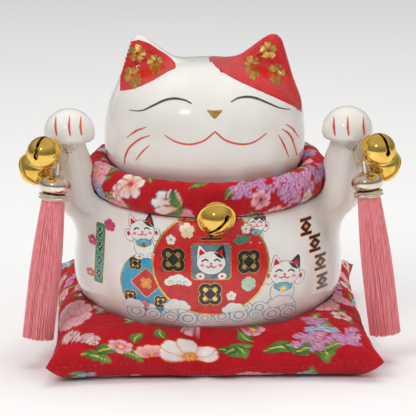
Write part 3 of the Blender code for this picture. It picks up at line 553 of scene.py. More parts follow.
def bell_meshes():
    """A bell's crown, base and shank about its centre: +Z to the shank, -Z to the slot."""
    inner, flange_r, seam = BELL_R - BELL_WALL, BELL_R + BELL_FLANGE, 0.15 * MM
    start = math.degrees(math.asin((seam + FLANGE_T) / BELL_R))
    inner_start = math.degrees(math.asin(seam / inner))
    edge = 0.2 * MM
    halves = {}
    for word, sign, rim in (("crown", 1, flange_r - 0.3 * MM), ("base", -1, flange_r)):
        outline = [
            *arc(BELL_R, 90, start, 20)[:-1],
            (BELL_R + 0.3 * MM, seam + FLANGE_T + 0.1 * MM),
            (rim - edge, seam + FLANGE_T),
            (rim, seam + FLANGE_T - edge),
            (rim, seam),
            *arc(inner, inner_start, 90, 16),
        ]
        outline = [(max(r, 0) if r > 1e-6 else 0, sign * z) for r, z in outline]
        halves[word] = turned(f"bell_{word}", outline, 72, crease=35)
    loop = Matrix.Translation((0, 0, SHANK_CENTRE)) @ Matrix.Rotation(math.pi / 2, 4, "X")
    shank_bore = ring("hole", SHANK_R, SHANK_WIRE + 0.2 * MM, 32, 10)
    crown = cut(place("crown", halves["crown"], "bell_gold"), shank_bore, loop)
    base = cut(place("base", halves["base"], "bell_gold"), slot_mesh())
    shank = ring("bell_shank", SHANK_R, SHANK_WIRE, 40, 12)
    shank.transform(loop)
    shank.materials.append(FINISHES["bell_gold"])
    meshes = {"crown": crown.data, "base": base.data, "shank": shank}
    for spare in (crown, base):
        bpy.data.objects.remove(spare, do_unlink=True)
    return meshes


def hang_bell(name, pivot, aim, wire, roll, meshes):
    """A bell on the wire at pivot. Aim points from the wire through the bell's centre to its slot."""
    hanging = frame_at(pivot, -Vector(aim).normalized(), wire) @ Matrix.Translation((0, 0, -REACH))
    for part, mesh in meshes.items():
        matrix = hanging @ Matrix.Rotation(roll, 4, "Z") if part == "base" else hanging
        obj = place(f"{name}_{part}_bright", mesh, None, matrix)
        settle(obj, name, "gold", f"{name}_{part}")


def collar_bell_pivot():
    front = collar_line(-math.pi / 2)
    return Vector((0.7 * MM, front.y - COLLAR_T - 3 * MM, front.z - 0.8 * MM))


# ---- the paws' rings and tassels ----


def link_axes(side):
    """The link ring's outward and upward directions in its own plane."""
    outward = Vector((side * math.cos(LINK_TURN), math.sin(LINK_TURN), 0))
    upward = Vector((0, math.sin(LINK_TILT), math.cos(LINK_TILT)))
    return outward, (upward - outward * upward.dot(outward)).normalized()


def link_centre(side):
    """The link ring hangs through the paw ring, just above its lowest wire."""
    held = PAW_RING_R - 2 * WIRE_R - 0.5 * MM
    outward_x = Vector((side * math.cos(PAW_RING_TURN), -math.sin(PAW_RING_TURN), 0))
    entry = paw_ring_frame(side).translation + held * (0.5 * outward_x - 0.866 * Vector((0, 0, 1)))
    outward, upward = link_axes(side)
    return entry - LINK_RING_R * (math.cos(LINK_ENTRY) * outward + math.sin(LINK_ENTRY) * upward)


def on_link(side, angle):
    """A point on the link ring's wire and the wire's direction there."""
    outward, upward = link_axes(side)
    point = link_centre(side) + LINK_RING_R * (math.cos(angle) * outward + math.sin(angle) * upward)
    return point, math.cos(angle) * upward - math.sin(angle) * outward


def tassel_head():
    """The bail, the cap and the beaded rim, hanging down -Z from the link ring's wire at the origin."""
    neck_foot = -CAP_DEPTH + CAP_HALF[1] - 1.9 * MM
    bail = [
        (0, BAIL_TOP),
        (BAIL_R - 0.5 * MM, BAIL_TOP),
        (BAIL_R, BAIL_TOP - 0.5 * MM),
        (BAIL_R, neck_foot),
        (BAIL_R + 1.1 * MM, neck_foot),
        (BAIL_R + 1.1 * MM, neck_foot - 1.1 * MM),
        (0, neck_foot - 1.1 * MM),
    ]
    bore = turned("bore", [(0, -6 * MM), (BAIL_HOLE_R, -6 * MM), (BAIL_HOLE_R, 6 * MM), (0, 6 * MM)], 32)
    bail_part = cut(
        place("bail", turned("tassel_bail", bail, 48, crease=30), "pale_gold"),
        bore,
        Matrix.Rotation(math.pi / 2 - BAIL_BORE_TILT, 4, "X"),
    )
    bail_mesh = bail_part.data
    bpy.data.objects.remove(bail_part, do_unlink=True)

    outer, inner = [], []
    for layer, inset in ((outer, 0), (inner, CAP_WALL)):
        half, rise = CAP_HALF[0] - inset, CAP_HALF[1] - inset
        first, last = math.acos((BAIL_R + GAP) / half), -math.asin(CAP_MOUTH / CAP_HALF[1])
        for k in range(21):
            angle = first + (last - first) * k / 20
            layer.append((half * math.cos(angle), rise * math.sin(angle) - CAP_DEPTH))
    cap = turned("tassel_cap", outer + inner[::-1], 72, closed=True)
    return {"bail": bail_mesh, "cap": cap, "rim": beaded_rim()}


def beaded_rim():
    """A band between two rows of beads."""
    band = bmesh.new()
    middle_r = (RIM_R + RIM_BORE_R) / 2
    outline = [
        (RIM_BORE_R, -RIM_TOP - GAP),
        (middle_r, -RIM_TOP),
        (RIM_R - 0.35 * MM, -RIM_TOP - 0.9 * MM),
        (RIM_R - 0.35 * MM, -RIM_FOOT + 0.9 * MM),
        (middle_r, -RIM_FOOT),
        (RIM_BORE_R, -RIM_FOOT + GAP),
    ]
    band.from_mesh(turned("band", outline, 72, closed=True))
    bead_r = 0.72 * MM
    for level in (-RIM_TOP - 1.05 * MM, -RIM_FOOT + 1.05 * MM):
        count = 42
        for k in range(count):
            angle = math.tau * k / count
            ring_r = RIM_R - bead_r + 0.2 * MM
            spot = Matrix.Translation((ring_r * math.cos(angle), ring_r * math.sin(angle), level))
            bmesh.ops.create_icosphere(band, subdivisions=2, radius=bead_r, matrix=spot)
    mesh = bpy.data.meshes.new("tassel_rim")
    band.to_mesh(mesh)
    band.free()
    mesh.shade_smooth()
    mesh.set_sharp_from_angle(angle=math.radians(50))
    return mesh


def strand(points, radius, sides=5):
    """A thread's rings of points along a path that runs down."""
    rings = []
    for x, y, z in points:
        rings.append(
            [
                (x + radius * math.cos(math.tau * k / sides), y + radius * math.sin(math.tau * k / sides), z)
                for k in range(sides)
            ]
        )
    return rings


def tassel_skirt(seed):
    """A core of packed thread with loose threads all round it, from the cap down to a trimmed foot."""
    chance = random.Random(seed)
    head_r, head_top = 5.2 * MM, CAP_DEPTH - 3 * MM
    outer_r = RIM_BORE_R - GAP
    core = [
        (0, -head_top),
        (head_r, -head_top),
        (head_r, -CAP_DEPTH - 4.6 * MM),
        (outer_r - 0.5 * MM, -RIM_TOP - 1 * MM),
        (outer_r - 0.5 * MM, -RIM_FOOT - 0.5 * MM),
        (SKIRT_FOOT_R - 2.4 * MM, -0.62 * SKIRT_FOOT),
        (SKIRT_FOOT_R - 1.9 * MM, -SKIRT_FOOT + 1.2 * MM),
        (0, -SKIRT_FOOT + 1.2 * MM),
    ]
    shape = bmesh.new()
    shape.from_mesh(turned("core", core, 40))
    rows = 16
    for layer, (count, inset) in enumerate(((64, 0.45 * MM), (54, 1.35 * MM))):
        for k in range(count):
            angle = math.tau * (k + 0.5 * layer + chance.uniform(-0.3, 0.3)) / count
            length = SKIRT_FOOT - chance.uniform(0, 1.1) * MM
            sway, phase = chance.uniform(0.1, 0.5) * MM, chance.uniform(0, math.tau)
            path = []
            for row in range(rows + 1):
                share = row / rows
                z = -RIM_FOOT + 1.4 * MM - share * (length - RIM_FOOT + 1.4 * MM)
                flare = 1 - (1 - min(share * 1.6, 1)) ** 2
                r = outer_r - 0.1 * MM + (SKIRT_FOOT_R - outer_r) * flare - inset * min(share * 6, 1)
                turn = angle + sway / SKIRT_FOOT_R * math.sin(phase + 5 * share) * share
                path.append((r * math.cos(turn), r * math.sin(turn), z))
            rings = strand(path, chance.uniform(0.42, 0.56) * MM)
            shape.from_mesh(skinned("thread", rings))
    mesh = bpy.data.meshes.new("tassel_skirt")
    shape.to_mesh(mesh)
    shape.free()
    mesh.shade_smooth()
    mesh.set_sharp_from_angle(angle=math.radians(60))
    return mesh


def paw_ornament(word, side, bells, heads):
    paw = paw_ring_frame(side)
    obj = place(f"paw_ring_{word}_wire", ring("paw_ring", PAW_RING_R, WIRE_R), "steel", paw)
    settle(obj, f"paw_ring_{word}", "steel", f"paw_ring_{word}")
    outward, upward = link_axes(side)
    link = frame_at(link_centre(side), outward.cross(upward), upward)
    obj = place(f"link_ring_{word}_wire", ring("link_ring", LINK_RING_R, WIRE_R, 96), "ring_gold", link)
    settle(obj, f"link_ring_{word}", "gold", f"link_ring_{word}")
    for which in ("front", "back"):
        point, wire = on_link(side, BELL_ANGLES[which])
        aim = (side * BELL_AIMS[which][0], *BELL_AIMS[which][1:])
        hang_bell(f"{which}_bell_{word}", point, aim, wire, side * BELL_ROLLS[which], bells)
    point, wire = on_link(side, TASSEL_ANGLE)
    hanging = frame_at(point, -Vector((side * TASSEL_AIM[0], *TASSEL_AIM[1:])), wire)
    for part, mesh in heads.items():
        obj = place(f"tassel_{part}_{word}_bright", mesh, "pale_gold", hanging)
        settle(obj, f"tassel_{word}", "pale_gold", f"tassel_{part}_{word}")
    skirt = place(f"tassel_threads_{word}", tassel_skirt(7 + side), "pink_silk", hanging)
    settle(skirt, f"tassel_{word}", "pink_thread", f"tassel_skirt_{word}")


# ---- outlines of painted and printed shapes, in millimetres ----


def turned_by(points, x, y, turn):
    """Points turned about the origin by this many degrees, then moved to (x, y)."""
    c, s = math.cos(math.radians(turn)), math.sin(math.radians(turn))
    return np.asarray(points) @ np.array([[c, s], [-s, c]]) + (x, y)


def oval(x, y, rx, ry=None, turn=0, steps=28):
    angles = np.linspace(0, math.tau, steps, endpoint=False)
    return turned_by(np.stack([rx * np.cos(angles), (ry or rx) * np.sin(angles)], 1), x, y, turn)


def petal(x, y, length, width, turn, notch=0.0, steps=22):
    """A petal from its foot at (x, y), pointing along turn. A notch makes the tip heart-shaped."""
    angles = np.linspace(0, math.tau, steps, endpoint=False)
    along = 0.5 - 0.5 * np.cos(angles)
    across = 0.5 * width * np.sin(angles) * (0.55 + 0.6 * along)
    along = along - notch * np.exp(-((across / (0.2 * width)) ** 2)) * (along > 0.5)
    return turned_by(np.stack([length * along, across], 1), x, y, turn)


def leaf(x, y, length, width, turn, bend=0.12, steps=10):
    """A pointed leaf whose middle bends to one side."""
    share = np.linspace(0, 1, steps + 1)
    middle, half = bend * length * np.sin(math.pi * share), 0.5 * width * np.sin(math.pi * share) ** 0.8
    upper = np.stack([length * share, middle + half], 1)
    lower = np.stack([length * share, middle - half], 1)[1:-1]
    return turned_by(np.concatenate([lower, upper[::-1]]), x, y, turn)


def smoothed(points, steps):
    """A smooth curve through the points."""
    p = np.array([points[0], *points, points[-1]], float)
    out = []
    for a, b, c, d in zip(p, p[1:], p[2:], p[3:]):
        for t in np.arange(steps) / steps:
            out.append(
                0.5
                * (2 * b + (c - a) * t + (2 * a - 5 * b + 4 * c - d) * t**2 + (3 * b - a - 3 * c + d) * t**3)
            )
    return np.array(out + [p[-1]])


def stroke(points, widths, steps=6):
    """A brush stroke along a smooth curve, with its width at each of the points."""
    line = smoothed(points, steps)
    width = np.interp(np.linspace(0, len(points) - 1, len(line)), range(len(points)), widths)
    along = np.gradient(line, axis=0)
    along /= np.linalg.norm(along, axis=1)[:, None]
    side = np.stack([-along[:, 1], along[:, 0]], 1) * width[:, None] / 2
    start, end = line[0] - along[0] * width[0] / 2, line[-1] + along[-1] * width[-1] / 2
    return np.concatenate([[start], line - side, [end], (line + side)[::-1]])


def rounded_box(x, y, half_x, half_y, radius, turn=0, steps=6):
    points = []
    for quarter, (sx, sy) in enumerate(((1, 1), (-1, 1), (-1, -1), (1, -1))):
        for k in range(steps + 1):
            angle = math.pi / 2 * (quarter + k / steps)
            points.append(
                (
                    sx * (half_x - radius) + radius * math.cos(angle),
                    sy * (half_y - radius) + radius * math.sin(angle),
                )
            )
    return turned_by(points, x, y, turn)


def scalloped(x, y, rx, ry, lobes, depth, turn=0):
    """An oval whose edge is a row of round lobes."""
    angles = np.linspace(0, math.tau, lobes * 6, endpoint=False)
    size = 1 - depth + depth * np.abs(np.sin(angles * lobes / 2)) ** 0.7
    return turned_by(np.stack([rx * size * np.cos(angles), ry * size * np.sin(angles)], 1), x, y, turn)


def anticlockwise(outline):
    x, y = outline.T
    area = np.sum(x * np.roll(y, -1) - np.roll(x, -1) * y)
    return outline if area > 0 else outline[::-1]


def grown(outline, border):
    """The outline moved outwards by the border all round."""
    outline = anticlockwise(outline)
    along = np.roll(outline, -1, 0) - np.roll(outline, 1, 0)
    along /= np.maximum(np.linalg.norm(along, axis=1), 1e-9)[:, None]
    return outline + np.stack([along[:, 1], -along[:, 0]], 1) * border


def within(points, outline):
    """Which points lie inside the outline."""
    inside = np.zeros(len(points), bool)
    for (ax, ay), (bx, by) in zip(outline, np.roll(outline, -1, 0)):
        if ay == by:
            continue
        spans = (points[:, 1] < ay) != (points[:, 1] < by)
        crossing = ax + (points[:, 1] - ay) * (bx - ax) / (by - ay)
        inside ^= spans & (points[:, 0] < crossing)
    return inside


def edge_distance(points, outline):
    nearest = np.full(len(points), np.inf)
    for a, b in zip(outline, np.roll(outline, -1, 0)):
        run = b - a
        share = np.clip((points - a) @ run / max(run @ run, 1e-12), 0, 1)
        nearest = np.minimum(nearest, np.linalg.norm(points - a - share[:, None] * run, axis=1))
    return nearest


# ---- raised enamel and gilding on the glaze ----


class Glaze:
    """Painted shapes that share one mesh. Each lies on the cat's front, thicker for a later coat."""

    spacing = 2.2

    def __init__(self, surface):
        self.surface = surface
        self.points, self.lifts, self.faces, self.coats, self.finishes = [], [], [], [], []
        self.count = 0
        self.trim, self.base = "gilt", 0  # the finish of fine edges, and what is added to each coat

    def paint(self, outline, finish, coat=0):
        """Adds the outline, in millimetres across and up, as a closed thin form."""
        outline = self.even(anticlockwise(np.asarray(outline, float)))
        low, high = outline.min(0), outline.max(0)
        axes = [np.arange(low[k] + 0.5, high[k], self.spacing) for k in range(2)]
        grid = np.stack(np.meshgrid(*axes), -1).reshape(-1, 2)
        grid = grid[within(grid, outline)]
        grid = grid[edge_distance(grid, outline) > 0.3 * self.spacing]
        flat = [Vector(p) for p in (*outline, *grid)]
        found = delaunay_2d_cdt(flat, [], [list(range(len(outline)))], 1, 1e-6)
        places = np.array([tuple(p) for p in found[0]])
        triangles = found[2]
        edges = {(a, b) for t in triangles for a, b in zip(t, t[1:] + t[:1])}
        rim = [(a, b) for a, b in edges if (b, a) not in edges]
        top, under = self.count, self.count + len(places)
        thickness = 0.13 + 0.07 * (coat + self.base)
        self.points += [places, places]
        self.lifts += [np.full(len(places), thickness), np.full(len(places), -0.1)]
        number = self.finish_number(finish)
        new = [tuple(top + k for k in t) for t in triangles]
        new += [tuple(under + k for k in reversed(t)) for t in triangles]
        new += [(top + b, top + a, under + a, under + b) for a, b in rim]
        self.faces += new
        self.coats += [number] * len(new)
        self.count += 2 * len(places)

    def even(self, outline):
        """The outline with no side longer than the spacing."""
        out = []
        for a, b in zip(outline, np.roll(outline, -1, 0)):
            parts = max(1, math.ceil(np.linalg.norm(b - a) / self.spacing))
            out += [a + (b - a) * k / parts for k in range(parts)]
        return np.array(out)

    def finish_number(self, finish):
        if finish not in self.finishes:
            self.finishes.append(finish)
        return self.finishes.index(finish)

    def gilded(self, outline, finish, coat=0, border=0.45):
        """A shape with a fine gold edge."""
        self.paint(grown(outline, border), self.trim, coat)
        self.paint(outline, finish, coat + 1)

    def fired(self, name):
        """The piece with all the shapes painted so far."""
        flat, lifts = np.concatenate(self.points) * MM, np.concatenate(self.lifts) * MM
        on_surface = []
        for x, z in flat:
            hit = self.surface.ray_cast(Vector((x, -0.3, z)), Vector((0, 1, 0)))[0]
            on_surface.append(tuple(hit) if hit else (x, 0, z))
        seated = draw_onto(cat_field, np.array(on_surface), 3)
        slope = slope_of(cat_field, seated)
        slope /= np.linalg.norm(slope, axis=1)[:, None]
        seated = seated + slope * lifts[:, None]
        mesh = bpy.data.meshes.new(name)
        mesh.from_pydata([tuple(p) for p in seated.tolist()], [], self.faces)
        for finish in self.finishes:
            mesh.materials.append(FINISHES[finish])
        mesh.polygons.foreach_set("material_index", self.coats)
        mesh.shade_smooth()
        mesh.set_sharp_from_angle(angle=math.radians(70))
        return settle(place(name, mesh), "cat", "glazed_white")


def gold_blossom(glaze, x, z, size, turn):
    """Five heart-shaped gold petals round a red eye, with fine stamens."""
    for k in range(5):
        angle = turn + 72 * k
        step = 0.16 * size
        foot = (x + step * math.cos(math.radians(angle)), z + step * math.sin(math.radians(angle)))
        glaze.paint(petal(*foot, 0.84 * size, 0.8 * size, angle, notch=0.16), "gilt", 3)
    for k in range(5):
        angle = math.radians(turn + 36 + 72 * k)
        tip = (x + 0.62 * size * math.cos(angle), z + 0.62 * size * math.sin(angle))
        glaze.paint(stroke([(x, z), tip], [0.3, 0.45], 2), "red", 4)
    glaze.paint(oval(x, z, 0.14 * size, steps=10), "red", 5)


def enamel_blossom(glaze, x, z, size, finish, eye="gilt", petals=5, coat=2, turn=90):
    for k in range(petals):
        angle = turn + 360 / petals * k
        glaze.gilded(petal(x, z, size, 0.85 * size, angle, notch=0.1, steps=14), finish, coat, 0.25)
    glaze.paint(oval(x, z, 0.24 * size, steps=10), eye, coat + 2)


def knot_ornament(glaze, x, z, half_x, half_z, finish="black", coat=2):
    """A lucky knot of four loops: it stands where the real one has writing."""
    for turn in (45, 135, 225, 315):
        c, s = math.cos(math.radians(turn)), math.sin(math.radians(turn))
        loop = oval(x + 0.52 * half_x * c, z + 0.52 * half_z * s, 0.5 * half_x, 0.5 * half_z, steps=16)
        glaze.gilded(loop, finish, coat, 0.4)
    for turn in (45, 135, 225, 315):
        c, s = math.cos(math.radians(turn)), math.sin(math.radians(turn))
        glaze.paint(
            oval(x + 0.52 * half_x * c, z + 0.52 * half_z * s, 0.2 * half_x, 0.2 * half_z, steps=10),
            "gilt",
            coat + 2,
        )
    glaze.gilded(rounded_box(x, z, 0.34 * half_x, 0.34 * half_z, 0.4, 45, 2), finish, coat + 2, 0.35)


def bar_ornament(glaze, x, z, half_x, half_z, finish="black", edge="gilt", coat=1):
    """A stacked emblem: a rounded lozenge between two bars."""
    glaze.paint(grown(rounded_box(x, z + 0.78 * half_z, half_x, 0.16 * half_z, 0.3, 0, 2), 0.35), edge, coat)
    glaze.paint(grown(rounded_box(x, z - 0.78 * half_z, half_x, 0.16 * half_z, 0.3, 0, 2), 0.35), edge, coat)
    glaze.paint(grown(rounded_box(x, z, 0.5 * half_z, 0.5 * half_z, 0.4, 45, 2), 0.35), edge, coat)
    glaze.paint(rounded_box(x, z + 0.78 * half_z, half_x, 0.16 * half_z, 0.3, 0, 2), finish, coat + 1)
    glaze.paint(rounded_box(x, z - 0.78 * half_z, half_x, 0.16 * half_z, 0.3, 0, 2), finish, coat + 1)
    glaze.paint(rounded_box(x, z, 0.5 * half_z, 0.5 * half_z, 0.4, 45, 2), finish, coat + 1)
    glaze.paint(oval(x, z, 0.22 * half_z, steps=8), edge, coat + 2)


def little_cat(glaze, x, z, size, coat=1, lean=0, body=True):
    """A small painted cat: a round head, ears, closed eyes, a bib with a bell, and raised paws."""
    glaze.trim = "grey"

    def at(dx, dz):
        return tuple(turned_by([(dx * size, dz * size)], x, z, lean)[0])

    if body:
        glaze.gilded(oval(*at(0, -1.45), 0.95 * size, 0.95 * size, lean), "white", coat, 0.3)
        for side in (-1, 1):
            paw = at(side * 1.28, -0.35)
            glaze.gilded(oval(*paw, 0.34 * size, 0.55 * size, lean - 20 * side, 16), "white", coat, 0.3)
            glaze.paint(oval(*at(side * 1.32, -0.2), 0.14 * size, 0.2 * size, lean, 10), "red", coat + 2)
            foot = at(side * 0.6, -2.25)
            glaze.gilded(oval(*foot, 0.42 * size, 0.26 * size, lean, 16), "white", coat + 1, 0.25)
            glaze.paint(oval(*foot, 0.16 * size, 0.12 * size, lean, 8), "pink", coat + 3)
    for side in (-1, 1):
        edge = ((0.22, 0.7), (0.56, 1.02), (0.86, 1.34), (1.0, 1.3), (1.1, 0.9), (1.12, 0.2))
        tip = [at(side * dx, dz) for dx, dz in edge]
        glaze.gilded(smoothed([*tip, at(side * 0.5, 0.3)], 2), "black" if side > 0 else "white", coat, 0.3)
        fold = [at(side * dx, dz) for dx, dz in ((0.5, 0.76), (0.88, 1.1), (0.96, 0.6))]
        glaze.paint(smoothed([*fold, fold[0]], 2)[:-1], "red", coat + 3)
    glaze.gilded(oval(*at(0, 0), 1.15 * size, 0.92 * size, lean), "white", coat + 1, 0.3)
    patch = [at(dx, dz) for dx, dz in ((0.2, 0.84), (0.5, 0.5), (0.98, 0.3), (0.9, 0.52), (0.6, 0.74))]
    glaze.paint(smoothed([*patch, patch[0]], 2)[:-1], "black", coat + 3)
    thin = max(0.09 * size, 0.35)
    for side in (-1, 1):
        brow = [at(side * 0.24, 0.16), at(side * 0.48, 0.28), at(side * 0.76, 0.12)]
        glaze.paint(stroke(brow, [thin, thin * 1.3, thin], 4), "black", coat + 3)
        smile = [at(0, -0.2), at(side * 0.2, -0.36), at(side * 0.42, -0.26)]
        glaze.paint(stroke(smile, [thin, thin, thin * 0.8], 4), "red", coat + 3)
        glaze.paint(oval(*at(side * 0.74, -0.2), 0.17 * size, 0.12 * size, lean, 10), "pink", coat + 3)
    glaze.paint(oval(*at(0, -0.06), 0.1 * size, 0.08 * size, lean, 8), "coral", coat + 4)
    if body:
        glaze.gilded(scalloped(*at(0, -1.02), 0.72 * size, 0.34 * size, 8, 0.14, lean), "sky", coat + 3, 0.3)
        glaze.paint(oval(*at(0, -1.2), 0.24 * size, steps=14), "gilt", coat + 5)
    glaze.trim = "gilt"


def face_and_paws(glaze):
    left_eye = [(-57.5, 179.0), (-49, 180.2), (-41, 184.4), (-33, 188.4)]
    left_eye += [(-26, 190), (-19, 189.4), (-14, 187.4)]
    right_eye = [(14, 187.9), (19, 190), (25.7, 190.3), (32.7, 188.6)]
    right_eye += [(41, 184.6), (49.3, 180.3), (57.5, 177.3)]
    glaze.paint(stroke(left_eye, [0.35, 0.8, 1.2, 1.45, 1.45, 1.2, 0.7]), "grey")
    glaze.paint(stroke(right_eye, [0.7, 1.2, 1.45, 1.45, 1.2, 0.8, 0.35]), "grey")
    nose = [(-3.6, 183.4), (2, 182.9), (7.6, 183), (5.2, 180), (2.1, 177.6), (-1, 180.1)]
    glaze.paint(smoothed(nose + nose[:1], 4)[:-1], "gilt")
    left_lip = [(-33, 165.4), (-25.2, 161.2), (-15.5, 159.8), (-5.8, 162.5), (2.2, 168.8)]
    right_lip = [(2.2, 168.8), (10, 162.3), (21.1, 159.0), (30.2, 159.9), (39, 164.8)]
    glaze.paint(stroke(left_lip, [0.6, 1.2, 1.4, 1.3, 0.9]), "coral")
    glaze.paint(stroke(right_lip, [0.9, 1.3, 1.4, 1.2, 0.6]), "coral", 1)
    whiskers = [
        [(-45.9, 169.7), (-53.1, 165.9), (-59.6, 159.9)],
        [(-43.2, 164.3), (-50.3, 160.7), (-56.7, 154.5), (-60.2, 147.7), (-61.6, 139.4)],
        [(-43.4, 157.5), (-49, 151.5), (-53.2, 145)],
        [(53.9, 168.6), (59.3, 163.6), (64, 156)],
        [(50.6, 166), (55.4, 161.9), (58.9, 156), (62.6, 143.3)],
        [(48.1, 162.1), (52.3, 154), (56.1, 144.2)],
    ]
    for line in whiskers:
        glaze.paint(stroke(line, [0.4, *[1.25] * (len(line) - 2), 0.4]), "coral")
    for x, top, foot in (
        (-109.6, 175.2, 164),
        (-100, 176.2, 164.2),
        (-92, 175.3, 163.9),
        (88, 173.5, 161.8),
        (97.5, 174.6, 162.4),
        (109, 173.4, 161.7),
    ):
        claw = [(x, top), (x - 0.4, (top + foot) / 2), (x + 0.3, foot)]
        glaze.paint(stroke(claw, [0.5, 1.7, 0.9]), "coral")


def ear_paint(glaze):
    """The left ear's red field with its gold blossoms, and the blossoms on the right ear."""
    glaze.spacing = 1.0  # the ears curve tightly
    corners = [(-50, 222.5), (-57, 219.8), (-60.8, 213), (-62.8, 200), (-63.6, 189.2), (-62.6, 188.7)]
    corners += [(-52, 193.2), (-41.6, 198.3), (-30, 204), (-23.6, 206.4)]
    corners += [(-28, 210.4), (-35.7, 215.4), (-43, 220.2)]
    glaze.paint(smoothed(corners + corners[:1], 3)[:-1], "red", 1)
    for x, z, size, turn in ((-51.1, 213.4, 6.6, 80), (-38.6, 207, 6.0, 25), (-54.7, 198.4, 6.6, 60)):
        gold_blossom(glaze, x, z, size, turn)
    for x, z, size, turn in ((43.6, 214.5, 6.6, 95), (31.6, 205, 6.4, 110), (49.0, 199.4, 6.6, 70)):
        gold_blossom(glaze, x, z, size, turn)
    glaze.spacing = Glaze.spacing


def belly_disc(glaze):
    """The red disc with its gold rim, the framed cat face and the four ornaments round it."""
    x, z = -1.6, 77.6
    glaze.base = 3
    glaze.gilded(oval(x, z, 40.2, 34.9, steps=96), "red", 0, 1.3)
    glaze.gilded(rounded_box(x, z + 2.8, 13.4, 11.8, 2.2), "slate", 1, 0.8)
    little_cat(glaze, x, z + 2.2, 8.6, 3, body=False)
    for side in (-1, 1):
        glaze.gilded(oval(x + side * 7.6, z - 7.0, 3.0, 2.3, steps=14), "white", 6, 0.25)
        glaze.paint(oval(x + side * 7.6, z - 7.2, 1.0, 0.8, steps=8), "red", 8)
    knot_ornament(glaze, -28, 81.3, 9.2, 9.2)
    knot_ornament(glaze, 25, 79.6, 9.0, 9.2)
    knot_ornament(glaze, -2.4, 57.6, 9.2, 9.0)
    bar_ornament(glaze, -1.3, 99.5, 7.5, 4.5, coat=2)
    enamel_blossom(glaze, -18.2, 101.0, 5.4, "cream")
    enamel_blossom(glaze, -29.5, 94.6, 3.6, "white", "gilt")
    enamel_blossom(glaze, 23.2, 101.5, 3.6, "white", "gilt")
    enamel_blossom(glaze, 12.4, 56.0, 3.6, "white", "gilt")
    enamel_blossom(glaze, 24.6, 64.0, 5.4, "mint", "gilt", 6)
    for turn in (35, 80, 125, 160):
        glaze.gilded(leaf(21, 92.4, 7.2, 2.6, turn, 0.05), "green", 2, 0.2)
    cloud_scroll(glaze, -25, 65.4, 10)
    glaze.base = 0


def cloud_scroll(glaze, x, z, half):
    """A flat-footed cloud of round lobes with curled ends."""
    lobes = ((-0.62, 0, 0.3), (-0.3, 0.16, 0.38), (0.08, 0.26, 0.42), (0.44, 0.12, 0.34), (0.72, 0, 0.24))
    for dx, dz, r in lobes:
        glaze.gilded(oval(x + dx * half, z + dz * half, r * half, r * half * 0.8, steps=16), "white", 2, 0.3)
    for dx in (-0.5, 0.1, 0.55):
        curl = []
        for t in (0, 1.6, 3.1, 4.4):
            curl.append((x + (dx + 0.16 * math.cos(t)) * half, z + 0.14 * math.sin(t) * half))
        glaze.paint(stroke(curl, [0.5, 0.5, 0.5, 0.4], 4), "sky", 4)


def belly_sides(glaze):
    """What is painted to the left and to the right of the disc."""
    glaze.gilded(oval(-44.5, 62.5, 20.2, 21.6, steps=64), "azure", 0, 0.8)
    glaze.gilded(rounded_box(-47, 63.2, 7.4, 7.4, 0.8, 45), "red", 1, 0.6)
    enamel_blossom(glaze, -47, 63.2, 4.4, "orange", "gilt", 4, 3, 45)
    for x, z, half in ((-54.5, 76.2, 4.6), (-58, 52.5, 4.4), (-37, 50.5, 4.8), (-36, 74, 4.0)):
        knot_ornament(glaze, x, z, half, half, "black", 1)
    enamel_blossom(glaze, -48, 46.8, 3.4, "pink")
    little_cat(glaze, -49.5, 98.4, 7.4, 1, 8)

    plate = rounded_box(-79.6, 77, 2.9, 20.5, 1.2, -3.5)
    glaze.gilded(plate, "green", 0, 0.35)
    for k in range(4):
        bar_ornament(glaze, -79 - 0.35 * k, 91.5 - 9.4 * k, 1.5, 3.2, "black", "mint", 2)
    for x, z, size in ((-72.2, 98, 4.0), (-84.6, 85, 3.4), (-86.2, 62, 3.2)):
        enamel_blossom(glaze, x, z, size, "magenta", "gilt", 5, 1)

    little_cat(glaze, 51, 68.5, 9.2, 1, -8)
    little_cat(glaze, 31, 104.2, 5.4, 1, -6)
    for x, z in ((67.5, 97), (74, 84.5), (78.2, 70.5), (79.6, 56)):
        bar_ornament(glaze, x, z, 4.2, 5.8, "black", "orange", 0)


def wave_band(glaze):
    """Two rows of round waves and foam along the foot of the belly."""
    for row, (count, drop, size) in enumerate(((11, 5.4, 7.2), (10, 0, 6.6))):
        for k in range(count):
            share = (k + 0.5) / count * 2 - 1
            x = 60 * share
            z = 39.6 + drop + 1.2 * math.sin(5 * share)
            wave = size * (0.9 + 0.18 * math.sin(2.3 * k + row))
            for ring_number, scale in enumerate((1, 0.9, 0.54, 0.42)):
                finish = "sky" if ring_number % 2 == 0 else "white"
                lobe = oval(x, z, wave * scale, wave * scale * 0.82, steps=20)
                glaze.paint(lobe, finish, 2 * row + 0.4 * ring_number)
    for x, z, half in ((-56, 46, 8), (-26, 47.5, 10), (14, 45.5, 9), (48, 47, 10)):
        for dx, r in ((-0.55, 0.34), (-0.12, 0.5), (0.38, 0.4), (0.74, 0.24)):
            lobe = oval(x + dx * half, z + 0.18 * half * (r > 0.35), r * half, 0.8 * r * half, steps=14)
            glaze.paint(grown(lobe, 0.35), "sky", 4)
            glaze.paint(lobe, "white", 5)


EAR_EDGE_POINTS = [(-4, 224), (-3, 214), (4, 207.4), (21, 199.3), (41.3, 189.8), (60, 178.5), (70, 168)]
EAR_EDGE = smoothed(EAR_EDGE_POINTS, 8) * MM
EAR_ENAMEL_RIGHT, EAR_ENAMEL_FOOT = 77 * MM, 165 * MM  # the enamel stays inside these in X and above in Z


